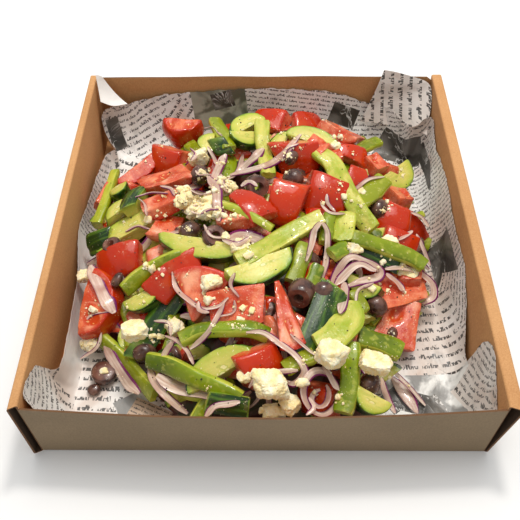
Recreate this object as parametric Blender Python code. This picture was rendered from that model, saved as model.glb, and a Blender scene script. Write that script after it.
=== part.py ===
"""Greek salad in a folded kraft board tray lined with printed greaseproof paper.

Lengths are in metres.  X runs across the tray, Y from its front to its back, Z up.
The origin is the centre of the whole object's box, at its base.
The two side walls are double: each is a flat tube of board whose open ends show
as slots beside the front and back panels.  The paper is a sheet pushed down into
the tray, whose four corners stand up in the tray's corners.  The salad is one heap,
and the pieces that lie loose on it or beside it are bodies of their own.
"""

import math
import random

import bmesh
import bpy
from mathutils import Matrix, Vector, noise

# --- Tray -------------------------------------------------------------------------
BOARD = 0.0009  # thickness of the kraft board
WALL_HEIGHT = 0.0482
SIDE_WALL_FRONT = -0.1166  # open front ends of the side walls, at their outer face
SIDE_WALL_SPLAY = 0.0013  # how much further back their inner face ends
SIDE_WALL_BACK = 0.1170
FRONT_PANEL_Y = -0.1142  # middle of the front panel's thickness, at the floor
BACK_PANEL_Y = 0.1145
FRONT_PANEL_HEIGHT = 0.0446
FRONT_BOW = 0.0042  # how far the front panel's top edge bulges outwards
BACK_BOW = 0.0008
PANEL_CORNER = 0.0030  # rounding of the back panel's top corners
RIM_RADIUS = 0.0010  # fold of the board over the rim
FOLD_STEPS = 3
# Half sections of the side walls: outer foot, outer rim, inner rim, inner foot.
LEFT_WALL = [(-0.1126, 0.0), (-0.1120, WALL_HEIGHT), (-0.1077, WALL_HEIGHT), (-0.1080, 0.0)]
RIGHT_WALL = [(0.1094, 0.0), (0.1138, WALL_HEIGHT), (0.1073, WALL_HEIGHT), (0.1073, 0.0)]

# --- Paper liner ------------------------------------------------------------------
GAP = 0.0004  # clearance between neighbouring bodies
PAPER = 0.0004
LINER_CORNER = 0.0120  # radius of the paper's turns in the tray's corners
LINER_STEP = 0.0090  # spacing of the paper's folds around the tray
LINER_ROWS = 4  # rows of faces up each side
LINER_PLAN = (-0.1070, -0.1130, 0.1064, 0.1130)  # low x, low y, high x, high y
# Height of the sheet's edge round the tray: share of the way round, metres.
# It starts at the front left corner and goes along the front, right, back, left.
LINER_EDGE = [
    (0.000, 0.047), (0.030, 0.040), (0.050, 0.028), (0.130, 0.026), (0.210, 0.030),
    (0.238, 0.040), (0.262, 0.047), (0.286, 0.042), (0.305, 0.009), (0.320, 0.009),
    (0.350, 0.034), (0.400, 0.038), (0.440, 0.031), (0.470, 0.040), (0.494, 0.049),
    (0.525, 0.054), (0.545, 0.048), (0.570, 0.033), (0.610, 0.038), (0.660, 0.037),
    (0.700, 0.035), (0.722, 0.030), (0.742, 0.050), (0.765, 0.044), (0.790, 0.012),
    (0.850, 0.020), (0.920, 0.018), (0.965, 0.014), (0.980, 0.034),
]

# --- Salad ------------------------------------------------------------------------
HEAP_CENTRE_HEIGHT = 0.053
HEAP_CELLS = 40
HEAP_LEAST = 0.002  # the heap is nowhere thinner than this
HEAP_ROUNDING = 2.4  # power of the mound's curve: higher is flatter on top
HEAP_SEED = 11
LUMPS = 170
LUMP_LENGTH = (0.010, 0.022)
LUMP_WIDTH = (0.006, 0.011)
LUMP_HEIGHT = (0.001, 0.008)
SEAT_MARGIN = 0.0065  # a cell of the heap's grid, so that no face cuts a loose piece
SEAT_SLOPE = 0.0060
# Outline of the heap: direction in degrees, reach from the middle, height at the edge.
HEAP_EDGE = [
    (0, 0.098, 0.010), (20, 0.101, 0.012), (32, 0.105, 0.016), (45, 0.109, 0.016),
    (60, 0.113, 0.022), (75, 0.108, 0.028), (90, 0.106, 0.030), (105, 0.106, 0.028),
    (120, 0.105, 0.022), (135, 0.106, 0.014), (150, 0.110, 0.016), (165, 0.106, 0.020),
    (180, 0.102, 0.020), (200, 0.106, 0.020), (211, 0.110, 0.012), (221, 0.100, 0.006),
    (229, 0.102, 0.006), (239, 0.113, 0.010), (250, 0.115, 0.024), (270, 0.1095, 0.034),
    (285, 0.113, 0.034), (296, 0.119, 0.028), (304, 0.108, 0.016), (312, 0.096, 0.006),
    (330, 0.095, 0.008), (345, 0.096, 0.010),
]

# Feta that lies on top: name, middle (x, y, z), size (x, y, z), turn in degrees.
FETA = [
    ("feta_front", (0.003, -0.1020, 0.0430), (0.0165, 0.0125, 0.0125), 8),
    ("feta_front_small", (0.0120, -0.1055, 0.0315), (0.0085, 0.0080, 0.0075), 30),
    ("feta_middle", (0.0310, -0.0890, 0.0500), (0.0130, 0.0110, 0.0110), 40),
    ("feta_right", (0.0520, -0.0895, 0.0430), (0.0150, 0.0100, 0.0095), -14),
    ("feta_left", (-0.0630, -0.0690, 0.0370), (0.0130, 0.0090, 0.0085), 12),
]
FETA_CUTS = 5
FETA_CORNERS = 0.35  # how far the block's corners are rounded off, 0 to 1
FETA_BALL = 0.62  # size of the ball that they are rounded towards
FETA_ROUGHNESS = 0.0009
FETA_DENTS = 260  # dents in a metre
OLIVE_MIDDLE = (-0.0830, -0.0755, 0.0064)
OLIVE_RADIUS = 0.0068
OLIVE_HOLE = 0.0020
OLIVE_SLICE = 0.0050
OLIVE_ROUND = 0.0014  # rounding of the slice's skin edges
OLIVE_FLAT = 0.0010  # half height of the skin between them
OLIVE_SEGMENTS = 20
OLIVE_END_MIDDLE = (-0.0874, -0.0840, 0.0043)
OLIVE_END_SIZE = (0.0075, 0.0062, 0.0044)
ONION_MIDDLE = (0.0715, -0.0865, 0.0040)
ONION_LENGTH = 0.0230
ONION_WIDTH = 0.0074
ONION_THICKNESS = 0.0026
ONION_BEND = 0.0015
ONION_TIP = 0.12  # width at the ends, as a share of the width
ONION_TURN = -62
ONION_STEPS = 14


def clear_scene():
    for thing in list(bpy.data.objects):
        bpy.data.objects.remove(thing, do_unlink=True)


def material(name, colour, roughness):
    made = bpy.data.materials.new(name)
    made.use_nodes = True
    shader = made.node_tree.nodes["Principled BSDF"]
    shader.inputs["Base Color"].default_value = (*colour, 1.0)
    shader.inputs["Roughness"].default_value = roughness
    shader.inputs["Metallic"].default_value = 0.0
    return made


def add_object(name, mesh, surface):
    """Put a mesh in the scene as one named piece with its material."""
    mesh.materials.append(surface)
    mesh.shade_smooth()
    mesh.set_sharp_from_angle(angle=math.radians(40))
    piece = bpy.data.objects.new(name, mesh)
    bpy.context.scene.collection.objects.link(piece)
    return piece


def closed_mesh(name, points, faces):
    """A mesh from points and faces, with every face turned outwards."""
    shape = bmesh.new()
    corners = [shape.verts.new(point) for point in points]
    for face in faces:
        shape.faces.new([corners[i] for i in face])
    bmesh.ops.recalc_face_normals(shape, faces=shape.faces)
    mesh = bpy.data.meshes.new(name)
    shape.to_mesh(mesh)
    shape.free()
    return mesh


def rounded_loop(corners, radius, steps):
    """The corners of a flat outline, each replaced by an arc of steps + 1 points."""
    loop = []
    for i, corner in enumerate(corners):
        here = Vector(corner)
        back = (Vector(corners[i - 1]) - here).normalized()
        ahead = (Vector(corners[(i + 1) % len(corners)]) - here).normalized()
        half = back.angle(ahead) / 2
        start = here + back * (radius / math.tan(half))
        end = here + ahead * (radius / math.tan(half))
        centre = here + (back + ahead).normalized() * (radius / math.sin(half))
        for k in range(steps + 1):
            spoke = (start - centre).lerp(end - centre, k / steps)
            loop.append(centre + spoke.normalized() * radius)
    return loop


def inset_corners(corners, distance):
    """The same outline moved inwards by a distance on every side."""
    count = len(corners)
    middle = sum((Vector(c) for c in corners), Vector((0.0, 0.0))) / count
    inner = []
    for i in range(count):
        here = Vector(corners[i])
        back = (Vector(corners[i - 1]) - here).normalized()
        ahead = (Vector(corners[(i + 1) % count]) - here).normalized()
        half = back.angle(ahead) / 2
        inward = (back + ahead).normalized()
        if inward.dot(middle - here) < 0:
            inward = -inward
        inner.append(here + inward * (distance / math.sin(half)))
    return inner


def side_wall(name, section, surface):
    """A flat tube of board along one side of the tray, open at both ends.

    Its front end is cut on a slant, so that the inner face ends at the front panel.
    """
    outer = rounded_loop(section, RIM_RADIUS, FOLD_STEPS)
    inner = rounded_loop(inset_corners(section, BOARD), RIM_RADIUS * 0.25, FOLD_STEPS)
    count = len(outer)
    outermost = max(abs(p.x) for p in outer)
    thickness = outermost - min(abs(p.x) for p in outer)
    points = []
    for y, splay in ((SIDE_WALL_FRONT, SIDE_WALL_SPLAY), (SIDE_WALL_BACK, 0.0)):
        for loop in (outer, inner):
            for p in loop:
                inwards = (outermost - abs(p.x)) / thickness
                points.append((p.x, y + splay * inwards, p.y))
    faces = []
    for i in range(count):
        j = (i + 1) % count
        faces.append((i, j, j + 2 * count, i + 2 * count))
        faces.append((i + count, j + count, j + 3 * count, i + 3 * count))
        faces.append((i, j, j + count, i + count))
        faces.append((i + 2 * count, j + 2 * count, j + 3 * count, i + 3 * count))
    return add_object(name, closed_mesh(name, points, faces), surface)


def end_panel(name, middle_y, height, bow, corner, surface):
    """The front or back panel, whose top edge bulges by bow.

    It reaches from the middle of one inner side panel to the middle of the other.
    """
    columns, rows = 20, 5
    low_x = LEFT_WALL[3][0] - BOARD * 0.5
    high_x = RIGHT_WALL[3][0] + BOARD * 0.5
    foot = BOARD * 0.3
    points = []
    for side in (-0.5, 0.5):
        for i in range(columns + 1):
            across = i / columns
            x = low_x + (high_x - low_x) * across
            edge = min(x - low_x, high_x - x)
            drop = corner - math.sqrt(max(0.0, corner**2 - max(0.0, corner - edge) ** 2))
            for k in range(rows + 1):
                up = k / rows
                bulge = bow * math.sin(math.pi * across) * up**1.4
                z = foot + (height - drop - foot) * up
                points.append((x, middle_y + BOARD * side + bulge, z))
    stride = rows + 1
    layer = (columns + 1) * stride
    faces = []
    for i in range(columns):
        for k in range(rows):
            a = i * stride + k
            faces.append((a, a + 1, a + 1 + stride, a + stride))
            faces.append((a + layer, a + 1 + layer, a + 1 + stride + layer, a + stride + layer))
    for i in range(columns):
        for k in (0, rows):
            a = i * stride + k
            faces.append((a, a + stride, a + stride + layer, a + layer))
    for i in (0, columns):
        for k in range(rows):
            a = i * stride + k
            faces.append((a, a + 1, a + 1 + layer, a + layer))
    return add_object(name, closed_mesh(name, points, faces), surface)


def floor_panel(name, surface):
    """The tray's floor, joined to the panels and the inner feet of the side walls."""
    low = Vector((LEFT_WALL[3][0] - BOARD * 0.5, FRONT_PANEL_Y, 0.0))
    high = Vector((RIGHT_WALL[3][0] + BOARD * 0.5, BACK_PANEL_Y, BOARD))
    shape = bmesh.new()
    bmesh.ops.create_cube(shape, size=1.0)
    bmesh.ops.scale(shape, vec=high - low, verts=shape.verts)
    bmesh.ops.translate(shape, vec=(high + low) / 2, verts=shape.verts)
    mesh = bpy.data.meshes.new(name)
    shape.to_mesh(mesh)
    shape.free()
    return add_object(name, mesh, surface)


def join_to(base, parts):
    """Join overlapping parts to the base body with Boolean unions."""
    for part in parts:
        part.hide_render = True
        part.display_type = "WIRE"
        joint = base.modifiers.new(part.name, "BOOLEAN")
        joint.operation = "UNION"
        joint.solver = "EXACT"
        joint.object = part


def make_tray():
    kraft = material("kraft_board", (0.50, 0.30, 0.15), 0.85)
    tray = floor_panel("tray", kraft)
    join_to(tray, [
        side_wall("tray_left_wall", LEFT_WALL, kraft),
        side_wall("tray_right_wall", RIGHT_WALL, kraft),
        end_panel("tray_front", FRONT_PANEL_Y, FRONT_PANEL_HEIGHT, -FRONT_BOW, 0.0, kraft),
        end_panel("tray_back", BACK_PANEL_Y, WALL_HEIGHT, BACK_BOW, PANEL_CORNER, kraft),
    ])
    return tray


def liner_plan():
    """Points round the paper's foot, each with its share of the way round."""
    low_x, low_y, high_x, high_y = LINER_PLAN
    corners = [(low_x, low_y), (high_x, low_y), (high_x, high_y), (low_x, high_y)]
    loop = rounded_loop(corners, LINER_CORNER, 4)
    dense = []
    for i, start in enumerate(loop):
        end = loop[(i + 1) % len(loop)]
        pieces = max(1, round((end - start).length / LINER_STEP))
        dense += [start.lerp(end, k / pieces) for k in range(pieces)]
    lengths = [(dense[i] - dense[i - 1]).length for i in range(1, len(dense))]
    total = sum(lengths) + (dense[0] - dense[-1]).length
    shares = [0.0]
    for length in lengths:
        shares.append(shares[-1] + length / total)
    return dense, shares


def edge_height(share):
    """Height of the sheet's edge at a share of the way round, in straight steps."""
    stations = LINER_EDGE + [(1.0 + LINER_EDGE[0][0], LINER_EDGE[0][1])]
    for (a, low), (b, high) in zip(stations, stations[1:]):
        if a <= share <= b:
            return low + (high - low) * (share - a) / (b - a)
    return stations[-1][1]


def make_liner():
    """One thin sheet: a floor, sides that follow the walls and four raised corners."""
    plan, shares = liner_plan()
    floor_z = BOARD + GAP
    rings = [(0.35, 0.0), (0.7, 0.0), (1.0, 0.0)]
    rings += [(1.0, (k + 1) / LINER_ROWS) for k in range(LINER_ROWS)]
    shape = bmesh.new()
    loops = []
    for inward, up in rings:
        loop = []
        for point, share in zip(plan, shares):
            z = floor_z + (edge_height(share) - floor_z) * up
            loop.append(shape.verts.new((point.x * inward, point.y * inward, z)))
        loops.append(loop)
    count = len(plan)
    hub = shape.verts.new((0.0, 0.0, floor_z))
    for i in range(count):
        j = (i + 1) % count
        shape.faces.new((hub, loops[0][i], loops[0][j]))
        for inner, outer in zip(loops, loops[1:]):
            shape.faces.new((inner[i], outer[i], outer[j], inner[j]))
    bmesh.ops.recalc_face_normals(shape, faces=shape.faces)
    if hub.normal.z < 0:
        bmesh.ops.reverse_faces(shape, faces=shape.faces)
    mesh = bpy.data.meshes.new("paper_liner")
    shape.to_mesh(mesh)
    shape.free()
    paper = material("greaseproof_paper", (0.55, 0.52, 0.49), 0.6)
    liner = add_object("paper_liner", mesh, paper)
    sheet = liner.modifiers.new("thickness", "SOLIDIFY")
    sheet.thickness = PAPER
    sheet.offset = 1.0
    return liner


def heap_edge(angle):
    """Reach and height of the heap's edge in a direction, blended between stations."""
    degrees = math.degrees(angle) % 360
    stations = HEAP_EDGE + [(360, *HEAP_EDGE[0][1:])]
    for (a, reach_a, height_a), (b, reach_b, height_b) in zip(stations, stations[1:]):
        if a <= degrees <= b:
            share = (1 - math.cos(math.pi * (degrees - a) / (b - a))) / 2
            return (
                reach_a + (reach_b - reach_a) * share,
                height_a + (height_b - height_a) * share,
            )
    return stations[-1][1:]


def heap_lumps(rng):
    """Places, sizes and directions of the chunks that roughen the heap."""
    lumps = []
    for _ in range(LUMPS):
        angle = rng.uniform(0, math.tau)
        reach, _height = heap_edge(angle)
        distance = reach * math.sqrt(rng.uniform(0.0, 0.92))
        lumps.append({
            "x": distance * math.cos(angle),
            "y": distance * math.sin(angle),
            "turn": rng.uniform(0, math.pi),
            "long": rng.uniform(*LUMP_LENGTH),
            "wide": rng.uniform(*LUMP_WIDTH),
            "high": rng.uniform(*LUMP_HEIGHT),
        })
    return lumps


def lump_rise(lumps, x, y):
    """How far the highest chunk at a point stands proud of the heap."""
    rise = 0.0
    for lump in lumps:
        dx = x - lump["x"]
        dy = y - lump["y"]
        along = dx * math.cos(lump["turn"]) + dy * math.sin(lump["turn"])
        across = dy * math.cos(lump["turn"]) - dx * math.sin(lump["turn"])
        spread = (along / lump["long"]) ** 2 + (across / lump["wide"]) ** 2
        if spread < 1:
            rise = max(rise, lump["high"] * (1 - spread**3))
    return rise


def under_loose_pieces(x, y, height):
    """The heap's height at a point, brought to the foot of a loose piece above it."""
    seats = []
    for _name, middle, size, _turn in FETA:
        reach = math.hypot(size[0], size[1]) / 2 + SEAT_MARGIN
        beyond = math.hypot(x - middle[0], y - middle[1]) - reach
        if beyond < SEAT_SLOPE:
            seat = middle[2] - size[2] / 2 - 2 * GAP
            seats.append(seat + (height - seat) * max(0.0, beyond / SEAT_SLOPE))
    return min(seats, default=height)


def make_heap():
    """The salad as one body: a mound with an uneven outline and a lumpy top."""
    lumps = heap_lumps(random.Random(HEAP_SEED))
    foot = BOARD + PAPER + 3 * GAP
    cells = HEAP_CELLS
    points = []
    for i in range(cells + 1):
        for j in range(cells + 1):
            u = 2 * i / cells - 1
            v = 2 * j / cells - 1
            angle = math.atan2(v, u)
            out = max(abs(u), abs(v))
            reach, edge = heap_edge(angle)
            x = out * reach * math.cos(angle)
            y = out * reach * math.sin(angle)
            z = edge + (HEAP_CENTRE_HEIGHT - edge) * (1 - out**HEAP_ROUNDING)
            z += lump_rise(lumps, x, y)
            points.append((x, y, max(foot + HEAP_LEAST, under_loose_pieces(x, y, z))))
    stride = cells + 1
    ring = [i * stride for i in range(cells)]
    ring += [cells * stride + j for j in range(cells)]
    ring += [(cells - i) * stride + cells for i in range(cells)]
    ring += [cells - j for j in range(cells)]
    base = len(points)
    points += [(points[i][0], points[i][1], foot) for i in ring]
    faces = []
    for i in range(cells):
        for j in range(cells):
            a = i * stride + j
            faces.append((a, a + stride, a + stride + 1, a + 1))
    for k in range(len(ring)):
        after = (k + 1) % len(ring)
        faces.append((ring[k], ring[after], base + after, base + k))
    faces.append(tuple(base + k for k in range(len(ring))))
    mesh = closed_mesh("salad_heap", points, faces)
    return add_object("salad_heap", mesh, material("mixed_salad", (0.42, 0.24, 0.06), 0.4))


def make_feta(name, middle, size, turn, surface):
    """A broken block of feta: a rounded box with a crumbly, uneven surface."""
    shape = bmesh.new()
    bmesh.ops.create_cube(shape, size=1.0)
    bmesh.ops.subdivide_edges(shape, edges=shape.edges, cuts=FETA_CUTS, use_grid_fill=True)
    seed = Vector(middle) / GAP
    for corner in shape.verts:
        ball = corner.co.normalized() * FETA_BALL
        rounded = corner.co.lerp(ball, FETA_CORNERS)
        place = Vector((rounded.x * size[0], rounded.y * size[1], rounded.z * size[2]))
        dent = noise.noise(place * FETA_DENTS + seed) * FETA_ROUGHNESS
        place += corner.co.normalized() * min(0.0, dent)
        corner.co = place
    bmesh.ops.rotate(shape, matrix=Matrix.Rotation(math.radians(turn), 3, "Z"), verts=shape.verts)
    mesh = bpy.data.meshes.new(name)
    shape.to_mesh(mesh)
    shape.free()
    chunk = add_object(name, mesh, surface)
    chunk.location = middle
    return chunk


def make_olive_ring(surface):
    """A slice across a pitted olive, lying flat, with rounded skin edges."""
    half = OLIVE_SLICE / 2
    flat = OLIVE_RADIUS - OLIVE_ROUND
    profile = [
        (OLIVE_HOLE, -half), (flat, -half), (OLIVE_RADIUS, -OLIVE_FLAT),
        (OLIVE_RADIUS, OLIVE_FLAT), (flat, half), (OLIVE_HOLE, half),
    ]
    count = len(profile)
    points = []
    for i in range(OLIVE_SEGMENTS):
        angle = math.tau * i / OLIVE_SEGMENTS
        points += [(r * math.cos(angle), r * math.sin(angle), z) for r, z in profile]
    faces = []
    for i in range(OLIVE_SEGMENTS):
        after = (i + 1) % OLIVE_SEGMENTS
        for k in range(count):
            n = (k + 1) % count
            faces.append((i * count + k, i * count + n, after * count + n, after * count + k))
    mesh = closed_mesh("olive_ring_loose", points, faces)
    ring = add_object("olive_ring_loose", mesh, surface)
    ring.location = OLIVE_MIDDLE
    return ring


def make_olive_end(surface):
    """The rounded end of an olive, lying beside the slice."""
    shape = bmesh.new()
    bmesh.ops.create_icosphere(shape, subdivisions=2, radius=0.5)
    bmesh.ops.scale(shape, vec=OLIVE_END_SIZE, verts=shape.verts)
    mesh = bpy.data.meshes.new("olive_end_loose")
    shape.to_mesh(mesh)
    shape.free()
    end = add_object("olive_end_loose", mesh, surface)
    end.location = OLIVE_END_MIDDLE
    return end


def make_onion():
    """A slice of red onion lying on the paper: a pointed leaf, slightly bent."""
    points = []
    for side in (-0.5, 0.5):
        for edge in (-1, 1):
            for k in range(ONION_STEPS + 1):
                along = k / ONION_STEPS
                x = (along - 0.5) * ONION_LENGTH
                swell = math.sin(math.pi * along)
                bend = ONION_BEND * swell
                width = ONION_WIDTH * (ONION_TIP + (1 - ONION_TIP) * swell**0.8)
                points.append((x, bend + edge * width / 2, side * ONION_THICKNESS))
    row = ONION_STEPS + 1
    low_left, low_right, high_left, high_right = (row * n for n in range(4))
    faces = []
    for k in range(ONION_STEPS):
        for a, b in (
            (low_left, low_right), (high_left, high_right),
            (low_left, high_left), (low_right, high_right),
        ):
            faces.append((a + k, a + k + 1, b + k + 1, b + k))
    for k in (0, ONION_STEPS):
        faces.append((low_left + k, low_right + k, high_right + k, high_left + k))
    mesh = closed_mesh("onion_slice_loose", points, faces)
    surface = material("red_onion", (0.55, 0.36, 0.40), 0.35)
    slice_ = add_object("onion_slice_loose", mesh, surface)
    slice_.location = ONION_MIDDLE
    slice_.rotation_euler = (0.0, 0.0, math.radians(ONION_TURN))
    return slice_


def centre_on_box(pieces):
    """Hang every piece on one empty, which puts the middle of the box at the origin."""
    bpy.context.view_layer.update()
    graph = bpy.context.evaluated_depsgraph_get()
    low = Vector((math.inf,) * 3)
    high = Vector((-math.inf,) * 3)
    for piece in pieces:
        shape = piece.evaluated_get(graph)
        for corner in shape.data.vertices:
            place = shape.matrix_world @ corner.co
            low = Vector(map(min, low, place))
            high = Vector(map(max, high, place))
    middle = bpy.data.objects.new("tray_middle", None)
    bpy.context.scene.collection.objects.link(middle)
    middle.location = (-(low.x + high.x) / 2, -(low.y + high.y) / 2, -low.z)
    for thing in bpy.context.scene.objects:
        if thing is not middle:
            thing.parent = middle
    bpy.context.view_layer.update()


def main():
    clear_scene()
    cheese = material("feta", (0.86, 0.80, 0.60), 0.75)
    olive = material("olive", (0.10, 0.045, 0.055), 0.3)
    pieces = [make_tray(), make_liner(), make_heap()]
    pieces += [make_feta(*row, cheese) for row in FETA]
    pieces += [make_olive_ring(olive), make_olive_end(olive), make_onion()]
    centre_on_box(pieces)


main()
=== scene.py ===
"""Looks of the greek salad in its lined kraft tray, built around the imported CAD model.

Lengths are in metres.  The tray, the paper and the salad are made as fine meshes inside
the CAD solids' places.  The salad is piled up piece by piece: a height map of the pile
says how high each piece comes to rest, first for loose filling, then for the pieces that
show on top.  The places of those are given over a level plane just below the tray's rim,
as they are seen from the camera, and each slides down its line of sight until it rests.
"""

import math
import random

import bpy
import numpy as np
from mathutils import Matrix, Vector, geometry
from mathutils.bvhtree import BVHTree


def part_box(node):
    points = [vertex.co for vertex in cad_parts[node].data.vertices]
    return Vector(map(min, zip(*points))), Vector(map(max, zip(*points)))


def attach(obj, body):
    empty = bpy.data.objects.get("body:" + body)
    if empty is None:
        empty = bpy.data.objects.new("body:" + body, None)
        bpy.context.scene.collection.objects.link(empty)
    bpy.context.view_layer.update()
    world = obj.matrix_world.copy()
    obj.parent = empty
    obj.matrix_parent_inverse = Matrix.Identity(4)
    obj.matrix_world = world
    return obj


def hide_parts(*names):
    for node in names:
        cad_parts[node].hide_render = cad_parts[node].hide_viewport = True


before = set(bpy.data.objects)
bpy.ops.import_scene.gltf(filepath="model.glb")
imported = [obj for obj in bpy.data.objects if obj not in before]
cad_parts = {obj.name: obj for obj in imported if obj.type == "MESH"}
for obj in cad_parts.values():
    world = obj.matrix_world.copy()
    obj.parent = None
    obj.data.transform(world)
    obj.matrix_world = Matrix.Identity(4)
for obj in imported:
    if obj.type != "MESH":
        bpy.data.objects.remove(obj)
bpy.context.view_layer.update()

MM = 0.001
TRAY_LOW, TRAY_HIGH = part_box("tray")
LINER_LOW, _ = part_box("paper_liner")
RIM = TRAY_HIGH.z
FLOOR_Z = LINER_LOW.z  # the paper's own lowest height

# --- Camera -----------------------------------------------------------------------
CAMERA_PLACE = Vector((0.0008, TRAY_LOW.y - 0.1298, RIM + 0.2757))
CAMERA_PITCH = math.radians(52.05)
CAMERA_YAW = math.radians(-0.90)
CAMERA_ROLL = math.radians(-0.71)
CAMERA_LENS = 47.67
SEEN_Z = 0.045  # height of the plane over which the pieces' places are given
SALAD_SPACE = ((-0.1030, -0.1110), (0.1015, 0.1080))  # the salad keeps within this
CELL = 0.0015  # side of the height map's cells, and steps along strips


# --- Node materials ---------------------------------------------------------------
class Surface:
    """One node material, built step by step."""

    def __init__(self, name, **fixed):
        self.made = bpy.data.materials.new(name)
        self.made.use_nodes = True
        self.tree = self.made.node_tree
        self.shader = self.tree.nodes["Principled BSDF"]
        for socket, value in fixed.items():
            self.shader.inputs[socket.replace("_", " ")].default_value = value

    def node(self, kind, inputs=None, **settings):
        made = self.tree.nodes.new(kind)
        for name, value in settings.items():
            setattr(made, name, value)
        for name, value in (inputs or {}).items():
            self.put(made.inputs[name], value)
        return made

    def put(self, socket, value):
        if isinstance(value, bpy.types.NodeSocket):
            self.tree.links.new(value, socket)
        elif isinstance(value, tuple) and len(value) == 3 and socket.type == "RGBA":
            socket.default_value = (*value, 1.0)
        else:
            socket.default_value = value

    def math(self, operation, a, b=0.5):
        return self.node("ShaderNodeMath", {0: a, 1: b}, operation=operation).outputs[0]

    def plus(self, a, b):
        return self.math("ADD", a, b)

    def minus(self, a, b):
        return self.math("SUBTRACT", a, b)

    def times(self, a, b):
        return self.math("MULTIPLY", a, b)

    def attribute(self, name, vector=False):
        made = self.node("ShaderNodeAttribute", attribute_name=name)
        return made.outputs["Vector" if vector else "Fac"]

    def layers(self):
        """How near the skin a point is, how far beyond the cut the skin lies, and gel."""
        made = self.node("ShaderNodeSeparateXYZ", {0: self.attribute("layers", True)})
        return made.outputs[0], made.outputs[1], made.outputs[2]

    def place(self):
        """The piece's own coordinates, shifted at random from piece to piece."""
        shift = self.times(self.attribute("chance"), 37.0)
        moved = self.node("ShaderNodeVectorMath", {0: self.attribute("local", True), 1: shift})
        return moved.outputs[0]

    def noise(self, place, scale, detail=3.0, distortion=0.0, roughness=0.5):
        made = self.node("ShaderNodeTexNoise", {
            "Vector": place, "Scale": scale, "Detail": detail,
            "Distortion": distortion, "Roughness": roughness,
        })
        return made.outputs["Fac"]

    def cells(self, place, scale, output="Distance"):
        made = self.node("ShaderNodeTexVoronoi", {"Vector": place, "Scale": scale})
        return made.outputs[output]

    def stretch(self, place, factors):
        made = self.node("ShaderNodeVectorMath", {0: place, 1: factors}, operation="MULTIPLY")
        return made.outputs[0]

    def band(self, value, low, high):
        """0 below low, 1 above high, smooth between."""
        made = self.node("ShaderNodeMapRange", {
            "Value": value, "From Min": low, "From Max": high,
        }, interpolation_type="SMOOTHSTEP")
        return made.outputs["Result"]

    def mix(self, share, a, b):
        """A blend of two colours, each a socket or its values on a screen."""
        made = self.node("ShaderNodeMix", data_type="RGBA")
        for socket, value in ((0, share), (6, a), (7, b)):
            self.put(made.inputs[socket], srgb(*value) if isinstance(value, tuple) else value)
        return made.outputs[2]

    def tint(self, colour, share, other, amount):
        """The colour with a weakened share of another over it."""
        return self.mix(self.times(share, amount), colour, other)

    def bump(self, height, distance, strength, normal="Normal"):
        made = self.node("ShaderNodeBump", {
            "Height": height, "Distance": distance, "Strength": strength,
        })
        self.put(self.shader.inputs[normal], made.outputs["Normal"])

    def sparkle(self, place):
        """A wet film, rippled and beaded with fine drops, which break up its reflections."""
        drops = self.band(self.cells(place, 600.0), 0.44, 0.08)
        beaded = self.band(self.noise(place, 130.0, 2.0), 0.44, 0.60)
        height = self.plus(self.noise(place, 300.0, 2.0), self.times(drops, beaded))
        self.bump(height, 0.0004, 0.6, "Coat Normal")

    def dressed_and_glinting(self, place, colour, amount):
        """Milky dressing in soft smears, and fine pale dots that are partly drops of it, partly painted
        glints.
        """
        where = self.band(self.noise(place, 170.0, 4.0, 0.0, 0.65), 0.50, 0.62)
        uneven = self.times(self.minus(self.noise(place, 900.0, 1.0), 0.5), 0.5)
        # Fine pale round dots: partly drops of dressing, partly painted glints of light.
        flecks_and_glints = self.band(self.plus(self.cells(place, 760.0), uneven), 0.24, 0.12)
        share = self.times(self.times(where, flecks_and_glints), amount)
        smear = self.band(self.noise(place, 85.0, 5.0, 0.4, 0.65), 0.54, 0.78)
        smear = self.times(smear, self.times(amount, 0.3))
        colour = self.mix(smear, colour, (230, 184, 130))
        return self.mix(share, colour, (250, 236, 200))

    def finish_wet(self, place, colour, amount, roughness=None):
        """Wet and with dressing, as cut vegetables and olives are, with painted glints over it."""
        self.sparkle(place)
        return self.finish(self.dressed_and_glinting(place, colour, amount), roughness)

    def finish(self, colour, roughness=None):
        self.put(self.shader.inputs["Base Color"], colour)
        if roughness is not None:
            self.put(self.shader.inputs["Roughness"], roughness)
        return self.made


def srgb(red, green, blue):
    """A colour from its values on a screen, 0 to 255, as linear numbers."""
    def linear(value):
        share = value / 255
        return share / 12.92 if share <= 0.04045 else ((share + 0.055) / 1.055) ** 2.4
    return linear(red), linear(green), linear(blue)


def new_object(name, data):
    made = bpy.data.objects.new(name, data)
    bpy.context.scene.collection.objects.link(made)
    return made


# --- Shapes -----------------------------------------------------------------------
def quad_body(points, quads, slots=None, layers=None):
    """A closed body of quads: its points, faces, their materials and the points' layers.

    layers are, for each point, how near the skin it is, how far beyond the cut the skin
    lies, and how wet with gel it is.
    """
    return face_outwards({
        "points": points, "quads": quads, "tris": np.zeros((0, 3), int),
        "layers": np.zeros((len(points), 3)) if layers is None else layers,
        "quad_slots": np.zeros(len(quads), int) if slots is None else slots,
        "tri_slots": np.zeros(0, int),
    })


def grid_quads(numbers, closed=True):
    """Quads between the neighbours of a grid of point numbers, whose rows may be loops."""
    if closed:
        after = np.roll(numbers, -1, 1)
    else:
        numbers, after = numbers[:, :-1], numbers[:, 1:]
    return np.stack([numbers[:-1], after[:-1], after[1:], numbers[1:]], -1).reshape(-1, 4)


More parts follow.
